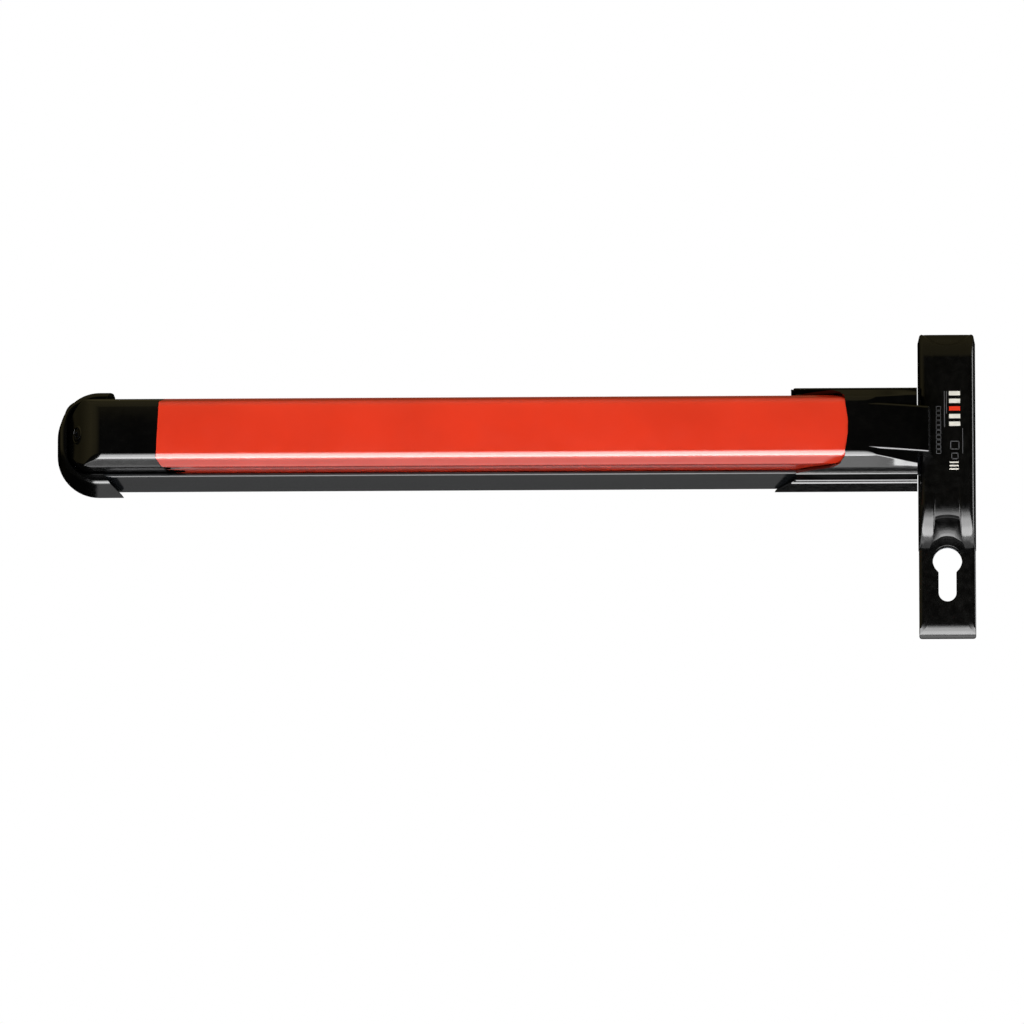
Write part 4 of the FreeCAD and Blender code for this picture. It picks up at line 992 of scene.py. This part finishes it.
class EXITDEVICE_OT_stage(Operator):
    """Builds the pale floor, the studio lights, the surroundings and the camera"""

    bl_idname = "exit_device.stage"
    bl_label = "Stage"

    def execute(self, context):
        scene = context.scene
        scene.view_settings.view_transform = "Standard"
        self.floor()
        self.surroundings(scene)
        for name, near, far, radiance in (
            ("table_light_far", 1.25, 2.4, 1.2),
            ("table_light_front", 0.7, 1.25, 5.5),
            ("table_light_near", 0.25, 0.7, 11.0),
            ("table_light_middle", 0.05, 0.25, 14.0),
            ("table_light_under", -0.03, 0.05, 14.0),
            ("table_light_behind", -0.4, -0.03, 1.8),
            ("table_light_back", -0.9, -0.4, 0.42),
            ("table_light_rear", -1.8, -0.9, 0.2),
        ):
            strip_light(name, near, far, radiance)
        right = soft_light("right_softbox", (1.2, 0.6, -0.05), (0.0, 0.0, -0.02), (0.6, 1.2), math.pi * 2.88)
        right.visible_diffuse = False
        for name, place, size, power in (
            ("front_fill", (MIDDLE_X, -1.27, -0.8), (1.2, 0.6), 25.3),
            ("top_fill", (MIDDLE_X, -0.3, 1.6), (2.0, 2.0), 16.0),
        ):
            soft_light(name, place, (MIDDLE_X, 0.0, 0.0), size, power).visible_glossy = False
        self.camera(scene)
        return {"FINISHED"}

    def floor(self):
        """Pale floor that reflections and bounced light leave out."""
        mesh = bpy.data.meshes.new("studio_floor")
        corner = np.array([(-1, -1), (1, -1), (1, 1), (-1, 1)]) * 5.0
        points = np.column_stack([corner[:, 0] + MIDDLE_X, corner[:, 1], np.full(4, FLOOR_Z)])
        mesh.from_pydata(points.tolist(), [], [(0, 1, 2, 3)])
        obj = bpy.data.objects.new("studio_floor", mesh)
        glow = {"Emission_Color": linear("F2F2F0"), "Emission_Strength": 0.66}
        made, tree, shader = new_material("pale_floor", Roughness=0.8, **glow)
        vary_colour(tree, shader, grain(tree, 400.0, 2.0), linear("E9E9E8"), linear("F1F1F0"))
        mesh.materials.append(made)
        obj.visible_glossy = obj.visible_diffuse = False
        bpy.context.scene.collection.objects.link(obj)

    def surroundings(self, scene):
        """White to the camera; to every other ray a dim warm glow from the left and from above."""
        world = bpy.data.worlds.new("studio_surroundings")
        world.use_nodes = True
        tree = world.node_tree
        tree.nodes.clear()
        seen = add_node(tree, "ShaderNodeBackground", {"Color": linear("FFFFFF"), "Strength": 1.0})
        place = add_node(tree, "ShaderNodeTexCoord").outputs["Generated"]
        apart = add_node(tree, "ShaderNodeSeparateXYZ", links={0: place})
        across, depth, height = apart.outputs

        def spread(value, low, high, start, end):
            limits = {"From Min": low, "From Max": high, "To Min": start, "To Max": end}
            return add_node(tree, "ShaderNodeMapRange", limits, {0: value}).outputs[0]

        def combine(operation, first, second):
            links = {0: first, 1: second}
            return add_node(tree, "ShaderNodeMath", links=links, operation=operation).outputs[0]

        left, above = spread(across, -0.85, -0.25, 1.0, 0.0), spread(height, 0.24, 0.36, 0.0, 1.0)
        glow = combine("MAXIMUM", left, above)
        glow = combine("MULTIPLY", glow, spread(depth, 0.0, 0.6, 0.32, 0.07))
        glow = combine("MULTIPLY", glow, spread(height, -0.1, 0.1, 0.05, 1.0))
        warm = {"Color": linear("EBDA9C")}
        lit = add_node(tree, "ShaderNodeBackground", warm, {"Strength": glow})
        path = add_node(tree, "ShaderNodeLightPath")
        links = {0: path.outputs["Is Camera Ray"], 1: lit.outputs[0], 2: seen.outputs[0]}
        mix = add_node(tree, "ShaderNodeMixShader", links=links)
        add_node(tree, "ShaderNodeOutputWorld", links={"Surface": mix.outputs[0]})
        scene.world = world

    def camera(self, scene):
        """Long lens from a little below the bar."""
        lens = bpy.data.cameras.new("view")
        distance, width = 12.0, 0.6104
        lens.sensor_width = 36
        lens.lens = 36 * distance / width
        lens.clip_end = 50
        obj = bpy.data.objects.new("view", lens)
        azimuth, elevation = math.radians(1.1), math.radians(-9.3)
        level = math.cos(elevation)
        away = Vector((math.sin(azimuth) * level, -math.cos(azimuth) * level, math.sin(elevation)))
        target = Vector((-0.2593, 0.0, -0.0400))
        obj.location = target + away * distance
        roll = Quaternion((0, 0, 1), math.radians(-0.12))
        obj.rotation_euler = ((-away).to_track_quat("-Z", "Y") @ roll).to_euler()
        scene.collection.objects.link(obj)
        scene.camera = obj


OPERATORS = (
    EXITDEVICE_OT_finish_parts,
    EXITDEVICE_OT_push_bar,
    EXITDEVICE_OT_end_cap,
    EXITDEVICE_OT_end_screw,
    EXITDEVICE_OT_end_flange,
    EXITDEVICE_OT_rail_lips,
    EXITDEVICE_OT_lock_side_cover,
    EXITDEVICE_OT_lock_case,
    EXITDEVICE_OT_printed_marks,
    EXITDEVICE_OT_cylinder_plate,
    EXITDEVICE_OT_stage,
)


class EXITDEVICE_PT_panel(Panel):
    """Lists the builders"""

    bl_idname = "EXITDEVICE_PT_panel"
    bl_label = "Exit device"
    bl_space_type = "VIEW_3D"
    bl_region_type = "UI"
    bl_category = "Exit device"

    def draw(self, context):
        for group in (context.scene.exit_device_sizes, context.scene.exit_device_colours):
            column = self.layout.column()
            for key in group.bl_rna.properties.keys():
                if key not in ("rna_type", "name"):
                    column.prop(group, key)
        for operator in OPERATORS:
            self.layout.operator(operator.bl_idname)


CLASSES = (ExitDeviceSizes, ExitDeviceColours, *OPERATORS, EXITDEVICE_PT_panel)


def register():
    for cls in CLASSES:
        bpy.utils.register_class(cls)
    bpy.types.Scene.exit_device_sizes = PointerProperty(type=ExitDeviceSizes)
    bpy.types.Scene.exit_device_colours = PointerProperty(type=ExitDeviceColours)


def unregister():
    del bpy.types.Scene.exit_device_colours
    del bpy.types.Scene.exit_device_sizes
    for cls in reversed(CLASSES):
        bpy.utils.unregister_class(cls)


def main():
    register()
    for operator in OPERATORS:
        group, name = operator.bl_idname.split(".")
        getattr(getattr(bpy.ops, group), name)()


if __name__ == "__main__":
    main()
